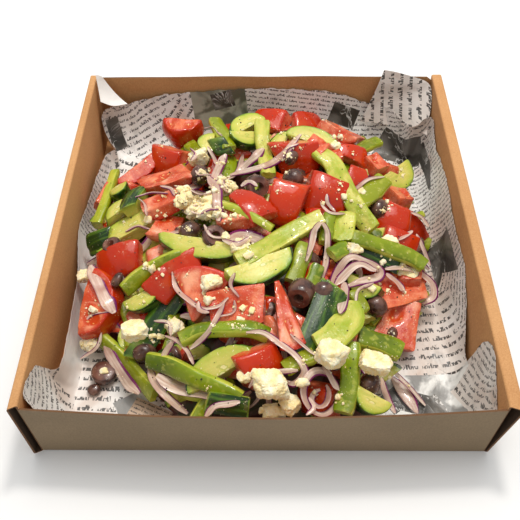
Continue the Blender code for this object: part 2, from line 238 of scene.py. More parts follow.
def loft(loops, slots, caps=(0, 0), depth=None):
    """A closed body through rings of points, with a point in the middle of each end ring.

    slots has the material of each band of faces, caps those of the two ends, and depth
    says for each point how near it is to the skin, from 0 to 1.
    """
    loops = np.asarray(loops, float)
    rings, around, _ = loops.shape
    poles = np.array([loops[0].mean(0), loops[-1].mean(0)])
    points = np.vstack([loops.reshape(-1, 3), poles])
    quads = grid_quads(np.arange(rings * around).reshape(rings, around))
    step = np.arange(around)
    after = (step + 1) % around
    top = np.stack([np.full(around, rings * around), after, step], -1)
    base = (rings - 1) * around
    end = np.stack([np.full(around, rings * around + 1), base + step, base + after], -1)
    tris = np.vstack([top, end])
    if depth is None:
        depth = np.zeros(rings * around)
    depth = np.asarray(depth, float).reshape(rings, around)
    depth = np.append(depth.reshape(-1), [depth[0].mean(), depth[-1].mean()])
    shape = {
        "points": points, "quads": quads, "tris": tris, "layers": depth[:, None] * (1, 0, 0),
        "quad_slots": np.broadcast_to(np.asarray(slots), (rings - 1, around)).reshape(-1),
        "tri_slots": np.repeat(caps, around),
    }
    return face_outwards(shape)


def turned_ring(profile, slots, depth, segments):
    """A ring body: a closed outline (radius, height) turned about the Z axis."""
    profile = np.asarray(profile, float)
    count = len(profile)
    angles = np.arange(segments) * math.tau / segments
    points = np.stack([
        profile[:, 0][None] * np.cos(angles)[:, None],
        profile[:, 0][None] * np.sin(angles)[:, None],
        np.broadcast_to(profile[:, 1], (segments, count)),
    ], -1).reshape(-1, 3)
    numbers = np.arange(segments * count).reshape(segments, count)
    quads = grid_quads(np.vstack([numbers, numbers[:1]]))
    layers = np.tile(depth, segments)[:, None] * (1, 0, 0)
    return quad_body(points, quads, np.tile(slots, segments), layers)


def face_outwards(shape):
    points, quads, tris = shape["points"], shape["quads"], shape["tris"]
    halves = np.vstack([quads[:, [0, 1, 2]], quads[:, [0, 2, 3]], tris])
    a, b, c = (points[halves[:, k]] for k in range(3))
    if np.einsum("ij,ij->i", a, np.cross(b, c)).sum() < 0:
        shape["quads"] = quads[:, ::-1]
        shape["tris"] = tris[:, ::-1]
    return shape


def wobble(points, amount, scale, rng):
    """The points moved by a smooth random flow, which makes cut food uneven."""
    moved = points.copy()
    for _ in range(4):
        way = np.array([rng.gauss(0, 1) for _ in range(3)])
        push = np.array([rng.gauss(0, 1) for _ in range(3)])
        phase = rng.uniform(0, math.tau)
        waves = np.sin(points @ (way / np.linalg.norm(way)) * (math.tau / scale) + phase)
        moved += waves[:, None] * push / np.linalg.norm(push) * amount * 0.5
    return moved


def box_grid(counts):
    """Points over the faces of a cube from -1 to 1, and the quads between them."""
    points, quads, start = [], [], 0
    for axis in range(3):
        u, v = (axis + 1) % 3, (axis + 2) % 3
        a, b = np.meshgrid(
            np.linspace(-1, 1, counts[u] + 1), np.linspace(-1, 1, counts[v] + 1), indexing="ij")
        for side in (-1, 1):
            face = np.empty((a.size, 3))
            face[:, axis], face[:, u], face[:, v] = side, a.reshape(-1), b.reshape(-1)
            quad = grid_quads(np.arange(a.size).reshape(a.shape) + start, closed=False)
            quads.append(quad[:, [0, 3, 2, 1]] if side > 0 else quad[:, [1, 2, 3, 0]])
            points.append(face)
            start += len(face)
    return weld(np.vstack(points), np.vstack(quads))


def carve(half, step, cuts, skin=None, edge=0.00035):
    """What flat cuts leave of a body with a round skin, about the origin.

    cuts are (normal, distance); skin is an ellipsoid's (middle, reach along each axis),
    where a reach of math.inf makes it a cylinder.  Points are sent out over a box with
    half sides half, about a step apart, and edges are rounded by about edge.
    """
    half = np.asarray(half, float)
    grid, quads = box_grid(np.clip(np.round(2 * half / step), 3, 44).astype(int))
    rays = grid * half
    rays /= np.linalg.norm(rays, axis=1)[:, None]
    reaches = []
    for normal, distance in cuts:
        facing = rays @ (np.asarray(normal, float) / np.linalg.norm(normal))
        reaches.append(distance / np.maximum(facing, 1e-3))
    nearest_cut = np.min(reaches, axis=0)
    beyond = np.full(len(rays), -1.0)
    if skin is not None:
        middle, weights = np.asarray(skin[0], float), 1 / np.asarray(skin[1], float)
        a = ((rays * weights) ** 2).sum(1)
        b = -2 * (rays * middle * weights**2).sum(1)
        c = ((middle * weights) ** 2).sum() - 1
        root = np.sqrt(np.maximum(b * b - 4 * a * c, 0))
        # A ray along a cylinder's axis (a = 0) never meets its skin.
        to_skin = np.where(a > 1e-9, (root - b) / np.maximum(2 * a, 1e-9), 1.0)
        beyond = nearest_cut - to_skin
        reaches.append(to_skin)
    reaches = np.array(reaches)
    least = reaches.min(0)
    length = least - edge * np.log(np.exp(-(reaches - least) / edge).sum(0))
    points = rays * length[:, None]
    depth = np.zeros(len(rays))
    if skin is not None:
        depth = np.linalg.norm((points - middle) * weights, axis=1)
    return quad_body(points, quads, layers=np.column_stack([depth, beyond / MM, np.zeros(len(rays))]))


def jitter(rng, normal, amount):
    return tuple(n + rng.uniform(-amount, amount) for n in normal)


def hollow(shape, place, reach, deep, way):
    """Push a round seed cavity into a cut face, and mark it as wet gel."""
    away = np.linalg.norm((shape["points"] - place) / reach, axis=1)
    share = np.exp(-(away**3)) * (shape["layers"][:, 1] < 0.4)
    shape["points"] = shape["points"] + np.outer(share, way) * deep
    shape["layers"][:, 2] = np.maximum(shape["layers"][:, 2], share)


def tomato_chunk(rng, length=0.022, width=0.018, depth=0.012, step=0.0011):
    """A chunk cut from a tomato: round skin on top, four cut sides and a cut base."""
    ball = rng.uniform(0.023, 0.028)
    cuts = [(jitter(rng, (0, 0, -1), 0.16), depth / 2)]
    for k in range(4):
        angle = math.radians(90 * k + rng.uniform(-15, 15))
        reach = (length, width)[k % 2] / 2 * rng.uniform(0.9, 1.04)
        cuts.append(((math.cos(angle), math.sin(angle), rng.uniform(-0.3, 0.25)), reach))
    skin = ((0, 0, depth / 2 - ball), (ball, ball, ball))
    shape = carve((length / 2, width / 2, depth / 2), step, cuts, skin)
    for _ in range(2):
        place = (rng.uniform(-0.3, 0.3) * length, rng.uniform(-0.3, 0.3) * width, -depth / 2)
        reach = (rng.uniform(0.12, 0.2) * length, rng.uniform(0.12, 0.2) * width, depth * 0.3)
        hollow(shape, place, reach, rng.uniform(0.0008, 0.002), (0, 0, 1))
    shape["points"] = wobble(shape["points"], 0.0004, 0.014, rng)
    return shape


def tomato_wedge(rng, radius=0.027, spread=70, thick=0.020, stretch=1.0, step=0.0012):
    """A slice of tomato from skin to core: skin on its round side, flesh elsewhere."""
    half_angle = math.radians(spread) / 2
    core = radius * 0.56
    cuts = [
        ((-math.sin(half_angle), math.cos(half_angle), 0), math.sin(half_angle) * core),
        ((-math.sin(half_angle), -math.cos(half_angle), 0), math.sin(half_angle) * core),
        (jitter(rng, (0, 0, 1), 0.08), thick / 2), (jitter(rng, (0, 0, -1), 0.08), thick / 2),
        ((-1, 0, 0), core * 0.92),
    ]
    skin = ((-core, 0, 0), (radius, radius, radius * stretch))
    shape = carve((core, radius * math.sin(half_angle) * 0.8, thick / 2), step, cuts, skin)
    for side in (-1, 1):
        place = np.array([-core * 0.2, side * radius * 0.44, thick * 0.5])
        hollow(shape, place, (radius * 0.28, radius * 0.2, thick * 0.3), 0.0012, (0, 0, -1))
        way = np.array([math.cos(half_angle), side * math.sin(half_angle), 0.0])
        place = np.array([-core, 0, rng.uniform(-0.1, 0.1) * thick]) + way * radius * 0.56
        inwards = (math.sin(half_angle), -side * math.cos(half_angle), 0)
        hollow(shape, place, (radius * 0.2, radius * 0.2, thick * 0.24), 0.0016, inwards)
    shape["points"] = wobble(shape["points"], 0.0005, 0.016, rng)
    return shape


def cucumber_slice(rng, length=0.045, height=0.013, thick=0.007, step=0.0012):
    """A half moon cut on a slant: skin round its curved edge, pale flesh elsewhere."""
    base = height * 0.42
    cuts = [
        (jitter(rng, (0, -1, 0), 0.10), base),
        (jitter(rng, (0, 0, 1), 0.12), thick / 2), (jitter(rng, (0, 0, -1), 0.12), thick / 2),
    ]
    if rng.random() < 0.5:
        cuts.append((jitter(rng, (1, 0.3, 0), 0.2), length * 0.42))
    skin = ((0, -base, 0), (length / 2, height, math.inf))
    shape = carve((length / 2, height * 0.5, thick / 2), step, cuts, skin)
    points = wobble(shape["points"], 0.0004, 0.018, rng)
    points[:, 0] += points[:, 2] * rng.uniform(-0.5, 0.5)
    points[:, 2] += (points[:, 0] / length) ** 2 * rng.uniform(-0.006, 0.003)
    return {**shape, "points": points}


def cucumber_baton(rng, length=0.045, width=0.010, thick=0.010, step=0.0011):
    """A stick of cucumber: skin on top, cut flesh at its sides and below."""
    ball = 0.017
    cuts = [
        ((rng.uniform(-0.1, 0.1), 1, -0.3), width / 2),
        ((rng.uniform(-0.1, 0.1), -1, -0.3), width / 2),
        (jitter(rng, (0, 0, -1), 0.1), thick / 2),
        ((1, rng.uniform(-0.5, 0.5), rng.uniform(-0.3, 0.3)), length / 2),
        ((-1, rng.uniform(-0.5, 0.5), rng.uniform(-0.3, 0.3)), length / 2),
    ]
    skin = ((0, 0, thick / 2 - ball), (math.inf, ball, ball))
    shape = carve((length / 2, width / 2, thick / 2), step, cuts, skin)
    points = wobble(shape["points"], 0.0004, 0.03, rng)
    points[:, 2] += (points[:, 0] / length) ** 2 * rng.uniform(-0.005, 0.002)
    return {**shape, "points": points}


def olive_slice(rng, radius=0.0067, hole=0.0024, thick=0.0055):
    """A ring cut across a pitted olive."""
    half = thick / 2
    profile = [
        (hole, -half * 0.8), (hole + 0.0004, -half), (radius - 0.0012, -half),
        (radius - 0.0003, -half * 0.75),
        (radius, -half * 0.25), (radius, half * 0.25), (radius - 0.0003, half * 0.75),
        (radius - 0.0012, half), (hole + 0.0004, half), (hole, half * 0.8),
    ]
    slots = [1, 1, 0, 0, 0, 0, 0, 1, 1, 1]
    depth = [0, 0.1, 0.9, 1, 1, 1, 1, 0.9, 0.1, 0]
    shape = turned_ring(profile, slots, depth, 28)
    shape["points"] = wobble(shape["points"], 0.0003, 0.012, rng)
    return shape


def olive_end(rng, radius=0.0065, length=0.010):
    """The rounded end of an olive with its cut face, or nearly a whole olive if long."""
    rings, around = 9, 22
    loops = []
    for k in range(rings):
        angle = math.pi * (0.06 + 0.94 * k / (rings - 1)) * 0.93
        r = radius * math.sin(angle) ** 0.9
        z = length / 2 * math.cos(angle)
        turn = np.arange(around) * math.tau / around
        loops.append(np.column_stack([r * np.cos(turn), r * np.sin(turn), np.full(around, z)]))
    dent = loops[0].copy()
    dent[:, :2] *= 0.7
    dent[:, 2] -= 0.0016
    loops.insert(0, dent)
    slots = np.zeros((rings, around), int)
    slots[0] = 1
    shape = loft(loops, slots, (1, 0), np.ones((rings + 1, around)))
    shape["points"] = wobble(shape["points"], 0.0004, 0.014, rng)
    return shape


def feta_block(rng, size=(0.015, 0.012, 0.011), finest=0.00028, step=0.0007, chips=9):
    """A broken piece of feta: a block with chipped corners and crumbly faces."""
    half = np.asarray(size) / 2
    cuts = []
    for axis in range(3):
        for side in (-1, 1):
            normal = [0, 0, 0]
            normal[axis] = side
            cuts.append((jitter(rng, normal, 0.2), half[axis]))
    for _ in range(chips):
        way = np.array([rng.choice((-1, 1)) * rng.uniform(0.3, 1) for _ in range(3)])
        corner = abs(way / np.linalg.norm(way)) @ half
        cuts.append((way, corner * rng.uniform(0.66, 0.86)))
    shape = carve(half, step, cuts, edge=min(size) * 0.04)
    points = shape["points"]
    out = points / np.linalg.norm(points, axis=1)[:, None]
    for scale, amount in ((0.0055, finest * 1.6), (0.0026, finest), (0.0013, finest * 0.7)):
        if scale > step:
            points = points + out * (lumps(points, scale, rng) * amount)[:, None]
    return {**shape, "points": points}


def lumps(points, scale, rng, waves=9):
    """A rough random height between about -1 and 1 over the points."""
    height = np.zeros(len(points))
    for _ in range(waves):
        way = np.array([rng.gauss(0, 1) for _ in range(3)])
        way = way / np.linalg.norm(way) * rng.uniform(0.7, 1.4)
        height += np.abs(np.sin(points @ way * (math.pi / scale) + rng.uniform(0, math.tau)))
    return (height / waves - 0.64) * 3.2


def feta_clump(rng, size):
    """Several crumbly lumps of feta stuck together."""
    lumps_made = [feta_block(rng, size, 0.0005, 0.0008)]
    for _ in range(5):
        share = rng.uniform(0.35, 0.62)
        lump = feta_block(rng, tuple(s * share for s in size), 0.0003, 0.0007)
        way = np.array([rng.gauss(0, 1) for _ in range(3)])
        way[2] = abs(way[2]) * 0.4
        lump["points"] = lump["points"] + way / np.linalg.norm(way) * np.asarray(size) * 0.42
        lumps_made.append(lump)
    return joined(lumps_made)


def joined(shapes):
    starts = np.cumsum([0] + [len(s["points"]) for s in shapes])
    made = {
        name: np.concatenate([s[name] for s in shapes])
        for name in ("points", "layers", "quad_slots", "tri_slots")
    }
    for name in ("quads", "tris"):
        made[name] = np.vstack([s[name] + start for s, start in zip(shapes, starts)])
    return made


def weld(points, quads):
    """Points that lie in one place become one point."""
    keys = np.round(points, 6)
    _, first, back = np.unique(keys, axis=0, return_index=True, return_inverse=True)
    return points[first], back.reshape(-1)[quads]


def smooth_path(controls, spacing):
    """Evenly spaced points on a Catmull-Rom curve through the control points."""
    controls = np.asarray(controls, float)
    ends = np.vstack([2 * controls[0] - controls[1], controls, 2 * controls[-1] - controls[-2]])
    fine = []
    for k in range(1, len(ends) - 2):
        t = np.linspace(0, 1, 24, endpoint=False)[:, None]
        p0, p1, p2, p3 = ends[k - 1 : k + 3]
        fine.append(0.5 * (
            2 * p1 + (p2 - p0) * t + (2 * p0 - 5 * p1 + 4 * p2 - p3) * t**2
            + (3 * p1 - p0 - 3 * p2 + p3) * t**3
        ))
    fine = np.vstack([*fine, ends[-2:-1]])
    return resample(fine, spacing)


def reaches(line):
    """How far along a line each of its points lies."""
    return np.append(0, np.cumsum(np.linalg.norm(np.diff(line, axis=0), axis=1)))


def points_at(line, way, at):
    """The points at places along a line, way being the places of its own points."""
    return np.column_stack([np.interp(at, way, column) for column in line.T])


def resample(line, spacing=None, count=None):
    """The line in even steps: so many, or about a spacing apart."""
    way = reaches(line)
    count = count or max(6, int(way[-1] / spacing) + 1)
    return points_at(line, way, np.linspace(0, way[-1], count))


def sweep(path, strip, widths, thicks, rolls):
    """A strip along a path, with one of the outlines below, in shares of width and thickness."""
    section, slots, depth = strip
    along = np.gradient(path, axis=0)
    along /= np.linalg.norm(along, axis=1)[:, None]
    up = np.tile((0.0, 0.0, 1.0), (len(path), 1))
    side = np.cross(along, up)
    side /= np.linalg.norm(side, axis=1)[:, None]
    up = np.cross(side, along)
    cos, sin = np.cos(rolls)[:, None], np.sin(rolls)[:, None]
    across = side * cos + up * sin
    out = up * cos - side * sin
    section = np.asarray(section, float)
    loops = (
        path[:, None]
        + across[:, None] * (section[:, 0][None, :, None] * widths[:, None, None])
        + out[:, None] * (section[:, 1][None, :, None] * thicks[:, None, None])
    )
    shape = loft(loops, np.tile(slots, (len(path) - 1, 1)), (1, 1), np.tile(depth, (len(path), 1)))
    local = np.stack([
        np.repeat(np.linspace(0, CELL * len(path), len(path)), len(section)),
        (section[:, 0][None] * widths[:, None]).reshape(-1),
        (section[:, 1][None] * thicks[:, None]).reshape(-1),
    ], -1)
    shape["local"] = np.vstack([local, local[:1], local[-1:]])
    return shape


# Strips: outline from -0.5 to 0.5 with the skin side up, the surface of each of its faces,
# and how near to the skin each of its points is.
PEPPER_STRIP = (
    [(-0.5, -0.30), (-0.5, 0.05), (-0.47, 0.33), (-0.36, 0.46), (-0.18, 0.5), (0, 0.52),
     (0.18, 0.5), (0.36, 0.46), (0.47, 0.33), (0.5, 0.05), (0.5, -0.30), (0.42, -0.46),
     (0.2, -0.38), (0, -0.5), (-0.2, -0.38), (-0.42, -0.46)],
    [1, 1, 0, 0, 0, 0, 0, 0, 1, 1, 1, 2, 2, 2, 2, 2],
    [0.2, 0.6, 0.9, 1, 1, 1, 1, 1, 0.9, 0.6, 0.2, 0, 0, 0, 0, 0],
)
ONION_STRIP = (
    [(-0.5, -0.1), (-0.47, 0.3), (-0.4, 0.46), (-0.15, 0.5), (0.2, 0.46), (0.45, 0.3),
     (0.5, 0.05), (0.42, -0.3), (0.15, -0.44), (-0.2, -0.46), (-0.42, -0.42), (-0.48, -0.3)],
    [0] * 12,
    [1, 1, 0.9, 0, 0, 0, 0.7, 0.2, 0, 0, 0.5, 1],
)


# --- Pieces of one kind, gathered into one mesh ------------------------------------
class Kind:
    """The pieces of one kind, which become one mesh that carries their own coordinates."""

    def __init__(self, name, slot, surfaces, sharp=42, replaces=()):
        self.name, self.slot, self.surfaces = name, slot, surfaces
        self.sharp, self.replaced = sharp, replaces
        self.parts = []

    def add(self, shape, placed, rng):
        self.parts.append({**shape, "placed": placed, "chance": rng.random()})

    def build(self):
        points, quads, tris, local, layers, chance = [], [], [], [], [], []
        start = 0
        for part in self.parts:
            points.append(part["placed"])
            quads.append(part["quads"] + start)
            tris.append(part["tris"] + start)
            local.append(part.get("local", part["points"]))
            layers.append(part["layers"])
            chance.append(np.full(len(part["placed"]), part["chance"]))
            start += len(part["placed"])
        slots = np.concatenate(
            [p["quad_slots"] for p in self.parts] + [p["tri_slots"] for p in self.parts]
        )
        faces = np.vstack(quads).tolist() + np.vstack(tris).tolist()
        mesh = bpy.data.meshes.new(self.name)
        mesh.from_pydata(np.vstack(points).tolist(), [], faces)
        for surface in self.surfaces:
            mesh.materials.append(surface)
        mesh.polygons.foreach_set("material_index", slots.astype(np.int32))
        for name, kind, field, values in (
            ("local", "FLOAT_VECTOR", "vector", np.vstack(local)),
            ("layers", "FLOAT_VECTOR", "vector", np.vstack(layers)),
            ("chance", "FLOAT", "value", np.concatenate(chance)),
        ):
            layer = mesh.attributes.new(name, kind, "POINT")
            layer.data.foreach_set(field, values.astype(np.float32).reshape(-1))
        mesh.shade_smooth()
        mesh.set_sharp_from_angle(angle=math.radians(self.sharp))
        piece = new_object(self.name, mesh)
        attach(piece, "root")
        if self.replaced:
            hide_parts(*self.replaced)
        return piece


# --- The pile's height map ---------------------------------------------------------
class Pile:
    """Heights of the pile on a square grid, which pieces come to rest on."""

    def __init__(self, low, high):
        self.low = np.array([low.x, low.y])
        self.shape = tuple(int((h - l) / CELL) + 1 for l, h in zip(low.xy, high.xy))
        self.height = np.zeros(self.shape)

    def cell(self, x, y):
        i = np.clip(((x - self.low[0]) / CELL).astype(int), 0, self.shape[0] - 1)
        j = np.clip(((y - self.low[1]) / CELL).astype(int), 0, self.shape[1] - 1)
        return i, j

    def at(self, x, y):
        return self.height[self.cell(np.asarray(x, float), np.asarray(y, float))]

    def raise_to(self, samples):
        np.maximum.at(self.height, self.cell(samples[:, 0], samples[:, 1]), samples[:, 2])

    def rest(self, samples, soft=0.012):
        """How far samples of a piece have to be lifted to lie on the pile."""
        gaps = np.sort(self.at(samples[:, 0], samples[:, 1]) - samples[:, 2])
        return gaps[-1 - int(len(gaps) * soft)]

    def slope(self, x, y, reach):
        """The pile's normal near a place, from a plane fitted to the heights there."""
        side = np.linspace(-reach, reach, 7)
        a, b = (m.reshape(-1) for m in np.meshgrid(side, side))
        heights = self.at(x + a, y + b)
        plane = np.linalg.lstsq(np.column_stack([a, b, np.ones_like(a)]), heights, rcond=None)[0]
        normal = np.array([-plane[0], -plane[1], 1.0])
        return normal / np.linalg.norm(normal)


def samples_of(shape, placed):
    """Points of the body and the middles of its faces, dense enough for the grid."""
    quads = shape["quads"]
    middles = placed[quads].mean(1)
    edges = (placed[quads[:, 0]] + placed[quads[:, 1]]) / 2
    return np.vstack([placed, middles, edges])


def turn_matrix(axis, degrees):
    angle = math.radians(degrees)
    x, y, z = np.asarray(axis, float) / np.linalg.norm(axis)
    skew = np.array([[0, -z, y], [z, 0, -x], [-y, x, 0]])
    return np.eye(3) + math.sin(angle) * skew + (1 - math.cos(angle)) * skew @ skew


def lean_to(normal, most):
    """The turn that tips Z towards a normal, by at most so many degrees."""
    axis = np.cross((0, 0, 1), normal)
    size = np.linalg.norm(axis)
    if size < 1e-6:
        return np.eye(3)
    return turn_matrix(axis, min(most, math.degrees(math.asin(min(1.0, size)))))


def along_sight(x, y, z):
    """Where a thing at height z lies that is seen over (x, y) of the plane at SEEN_Z."""
    share = (CAMERA_PLACE.z - z) / (CAMERA_PLACE.z - SEEN_Z)
    return (
        CAMERA_PLACE.x + (x - CAMERA_PLACE.x) * share,
        CAMERA_PLACE.y + (y - CAMERA_PLACE.y) * share,
    )


def keep_inside(points):
    """The shift that brings points inside the paper's walls."""
    low = np.array(SALAD_SPACE[0]) - points[:, :2].min(0)
    high = np.array(SALAD_SPACE[1]) - points[:, :2].max(0)
    return np.maximum(low, 0) + np.minimum(high, 0)


def moving(values, window):
    """A running mean over a window of neighbours."""
    padded = np.pad(values, window, mode="edge")
    return np.mean([padded[k : k + len(values)] for k in range(2 * window + 1)], axis=0)


def bridged(height, steepest):
    """The lowest line over the heights that is nowhere steeper than a slope."""
    step = CELL * steepest
    reach = np.abs(np.arange(len(height))[:, None] - np.arange(len(height))[None]) * step
    return (height[None] - reach).max(1)


# --- Salad: what the pieces are laid with -------------------------------------------
SETTLING = 5  # rounds in which a seen piece's height and place come to agree
PRESSED, STRIP_PRESSED = 0.0008, 0.0004  # how far a piece sinks into what it lies on


class Salad:
    """Lays pieces on the pile.  Places and sizes are in millimetres, turns in degrees.

    Pieces that are seen slide down their line of sight.  A piece sinks in as far as it
    has to for its top to stay within proud of the heap's form.
    """

    def __init__(self, pile, kinds, rng, seen, proud, coarse=1.0):
        self.pile, self.kinds, self.rng = pile, kinds, rng
        self.seen, self.proud = seen, proud
        self.step = 0.0011 * coarse

    def place(self, kind, shape, placed):
        self.pile.raise_to(samples_of(shape, placed))
        self.kinds[kind].add(shape, placed, self.rng)

    def lay(self, kind, shape, x, y, turn, tip, lean=24.0, proud=0):
        """Lay a body on the pile.  tip turns it about its own X and Y axes first."""
        x, y, seen, pile = x * MM, y * MM, self.seen, self.pile
        points = shape["points"] @ turn_matrix((1, 0, 0), tip[0]).T @ turn_matrix((0, 1, 0), tip[1]).T
        points = points @ turn_matrix((0, 0, 1), turn).T
        reach = np.hypot(points[:, 0], points[:, 1]).max()
        z = heap_form(x, y)[0] if seen else 0.0
        for _ in range(SETTLING if seen else 1):
            here = along_sight(x, y, z) if seen else (x, y)
            normal = pile.slope(here[0], here[1], reach * 0.6)
            placed = points @ lean_to(normal, lean).T
            placed[:, :2] += here
            placed[:, :2] += keep_inside(placed)
            top = heap_form(*here)[0] + (self.proud + proud) * MM - placed[:, 2].max()
            lift = min(pile.rest(samples_of(shape, placed)) - PRESSED, top)
            lift = max(lift, FLOOR_Z + 0.0004 - placed[:, 2].min())
            z = (z + lift) / 2 if seen else lift
        placed[:, 2] += lift
        self.place(kind, shape, placed)

    def drape(self, kind, strip, route, width, thick, roll, twist, stiff, taper, proud, steepest, tip):
        """Lay a strip on the pile along a route, bending over what lies below it.

        taper is how wide its ends are, and tip the share of its length over which each
        narrows.
        """
        width, thick, seen = width * MM, thick * MM, self.seen
        plan = smooth_path(np.array(route) * MM, CELL)
        share = np.linspace(0, 1, len(plan))
        tilt = math.radians(roll)
        reach = abs(math.cos(tilt)) * width / 2
        rise = abs(math.cos(tilt)) * thick / 2 + abs(math.sin(tilt)) * width / 2
        height = heap_form(plan[:, 0], plan[:, 1])[0]
        window = max(1, int(stiff * MM / CELL))
        for _ in range(SETTLING if seen else 1):
            x, y = along_sight(plan[:, 0], plan[:, 1], height) if seen else plan.T
            way = np.gradient(np.column_stack([x, y]), axis=0)
            way /= np.linalg.norm(way, axis=1)[:, None]
            under = np.sort([
                self.pile.at(x - way[:, 1] * reach * k, y + way[:, 0] * reach * k)
                for k in (-0.8, -0.4, 0, 0.4, 0.8)
            ], axis=0)[3]
            under = np.minimum(under, heap_form(x, y)[0] + (self.proud + proud) * MM - 2 * rise)
            rested = moving(bridged(under, steepest), window) + rise - STRIP_PRESSED
            height = (height + rested) / 2 if seen else rested
        ends = np.clip(np.minimum(share, 1 - share) / tip, 0, 1)
        narrow = taper + (1 - taper) * np.sin(ends * math.pi / 2)
        waver = 1 + 0.06 * np.sin(share * 9 + self.rng.uniform(0, 6))
        shape = sweep(
            np.column_stack([x, y, rested]), strip, width * narrow * waver,
            thick * (0.6 + 0.4 * narrow), np.radians(roll + twist * (share - 0.5)),
        )
        placed = wobble(shape["points"], 0.0002, 0.012, self.rng)
        placed[:, :2] += keep_inside(placed)
        placed[:, 2] += max(0.0, FLOOR_Z + 0.0003 - placed[:, 2].min())
        self.place(kind, shape, placed)

    def cut(self, kind, make, x, y, turn, size, tip, **how):
        """Lay a piece that make cuts to a size."""
        shape = make(self.rng, *(s * MM for s in size), self.step)
        self.lay(kind, shape, x, y, turn, tip, **how)

    def tomato(self, x, y, turn=0, size=(22, 18, 12), tip=(0, 0), **how):
        self.cut("tomatoes", tomato_chunk, x, y, turn, size, tip, **how)

    def wedge(self, x, y, turn, radius, spread, thick, tip, stretch=1.0, **how):
        shape = tomato_wedge(self.rng, radius * MM, spread, thick * MM, stretch, self.step)
        self.lay("tomatoes", shape, x, y, turn, tip, **how)

    def cucumber(self, x, y, turn, size, tip=(0, 0)):
        self.cut("cucumbers", cucumber_slice, x, y, turn, size, tip)

    def baton(self, x, y, turn, size, tip):
        self.cut("cucumbers", cucumber_baton, x, y, turn, size, tip)

    def olive(self, x, y, turn=0, radius=6.6, thick=6, tip=(0, 0), **how):
        shape = olive_slice(self.rng, radius * MM, 0.33 * radius * MM, thick * MM)
        self.lay("olives", shape, x, y, turn, tip, **how)

    def olive_half(self, x, y, turn=0, radius=6.4, length=11, tip=(0, 0), **how):
        shape = olive_end(self.rng, radius * MM, length * MM)
        self.lay("olives", shape, x, y, turn, tip, **how)

    def feta(self, x, y, size=(11, 9, 8), turn=0, **how):
        shape = feta_clump(self.rng, tuple(s * MM for s in size))
        self.lay("feta_pieces", shape, x, y, turn, (0, 0), **how)

    def pepper(self, *route, width=8.5, thick=4.6, roll=0, twist=0, stiff=6, taper=0.92):
        self.drape("capsicums", PEPPER_STRIP, route, width, thick, roll, twist, stiff, taper,
                   proud=0, steepest=0.35, tip=0.05)

    def onion(self, *route, width=5, thick=1.5, roll=0):
        self.drape("onions", ONION_STRIP, route, width * 0.86, thick * 0.55, roll, 0, 3, 0.35,
                   proud=1, steepest=0.6, tip=0.22)

    def short(self, lay, x, y, angle, long, bend, **how):
        """Lay a short strip, bent sideways, with its middle near a place."""
        c, s = math.cos(angle), math.sin(angle)
        lay((x - long * c, y - long * s), (x + bend * s, y - bend * c),
            (x + long * c, y + long * s), **how)


# --- Heap: its outline and its hidden core ------------------------------------------
HEAP_CENTRE_HEIGHT = 0.053
HEAP_FLATNESS = 2.4  # power of the curve from its middle to its edge
# Outline of the heap: direction in degrees, reach from the middle, height at the edge.
HEAP_EDGE = [
    (0, 0.098, 0.010), (20, 0.101, 0.012), (32, 0.105, 0.016), (45, 0.109, 0.016),
    (60, 0.113, 0.022), (75, 0.108, 0.028), (90, 0.106, 0.030), (105, 0.106, 0.028),
    (120, 0.105, 0.022), (135, 0.106, 0.014), (150, 0.110, 0.016), (165, 0.106, 0.020),
    (180, 0.102, 0.020), (200, 0.106, 0.020), (211, 0.110, 0.012), (221, 0.100, 0.006),
    (229, 0.102, 0.006), (239, 0.113, 0.010), (250, 0.115, 0.024), (270, 0.1095, 0.034),
    (285, 0.113, 0.034), (296, 0.119, 0.028), (304, 0.108, 0.016), (312, 0.096, 0.006),
    (330, 0.095, 0.008), (345, 0.096, 0.010), (360, 0.098, 0.010),
]
HEAP_COVER = 0.021  # how far the core lies below what shows
CORE_RIM = 0.16  # share of the reach over which the core comes down to the floor
CORE_AROUND = 96  # points in each ring of the core


def heap_form(x, y):
    """Height of the heap's smooth top, and how far out a place lies, 1 at the edge."""
    degrees = np.degrees(np.arctan2(y, x)) % 360
    stations = np.array(HEAP_EDGE)
    reach = np.interp(degrees, stations[:, 0], stations[:, 1])
    edge = np.interp(degrees, stations[:, 0], stations[:, 2])
    out = np.hypot(x, y) / reach
    height = edge + (HEAP_CENTRE_HEIGHT - edge) * (1 - np.minimum(out, 1) ** HEAP_FLATNESS)
    return height, out


def core_height(x, y):
    height, out = heap_form(x, y)
    shrunk = np.clip((1 - out) / CORE_RIM, 0, 1)
    return FLOOR_Z + np.maximum(height - HEAP_COVER - FLOOR_Z, 0) * np.sqrt(shrunk)


def make_core(surface):
    """A closed low mound under the pieces, with a rough top."""
    angles = np.arange(CORE_AROUND) * math.tau / CORE_AROUND
    stations = np.array(HEAP_EDGE)
    reach = np.interp(np.degrees(angles), stations[:, 0], stations[:, 1]) * 0.985
    loops = []
    for share in (0.12, 0.3, 0.5, 0.65, 0.78, 0.87, 0.94, 0.985, 1.0):
        x, y = reach * share * np.cos(angles), reach * share * np.sin(angles)
        rough = 0.0012 * np.sin(x * 700) * np.sin(y * 640 + 1)
        loops.append(np.column_stack([x, y, core_height(x, y) + rough * (share < 0.97)]))
    for share in (1.0, 0.5):
        x, y = reach * share * np.cos(angles), reach * share * np.sin(angles)
        loops.append(np.column_stack([x, y, np.full(CORE_AROUND, FLOOR_Z)]))
    shape = loft(loops, np.zeros((len(loops) - 1, CORE_AROUND), int), (0, 0))
    core = Kind("salad_core", "mixed_salad", [surface], replaces=["salad_heap"])
    core.add(shape, shape["points"], random.Random(1))
    return core.build()


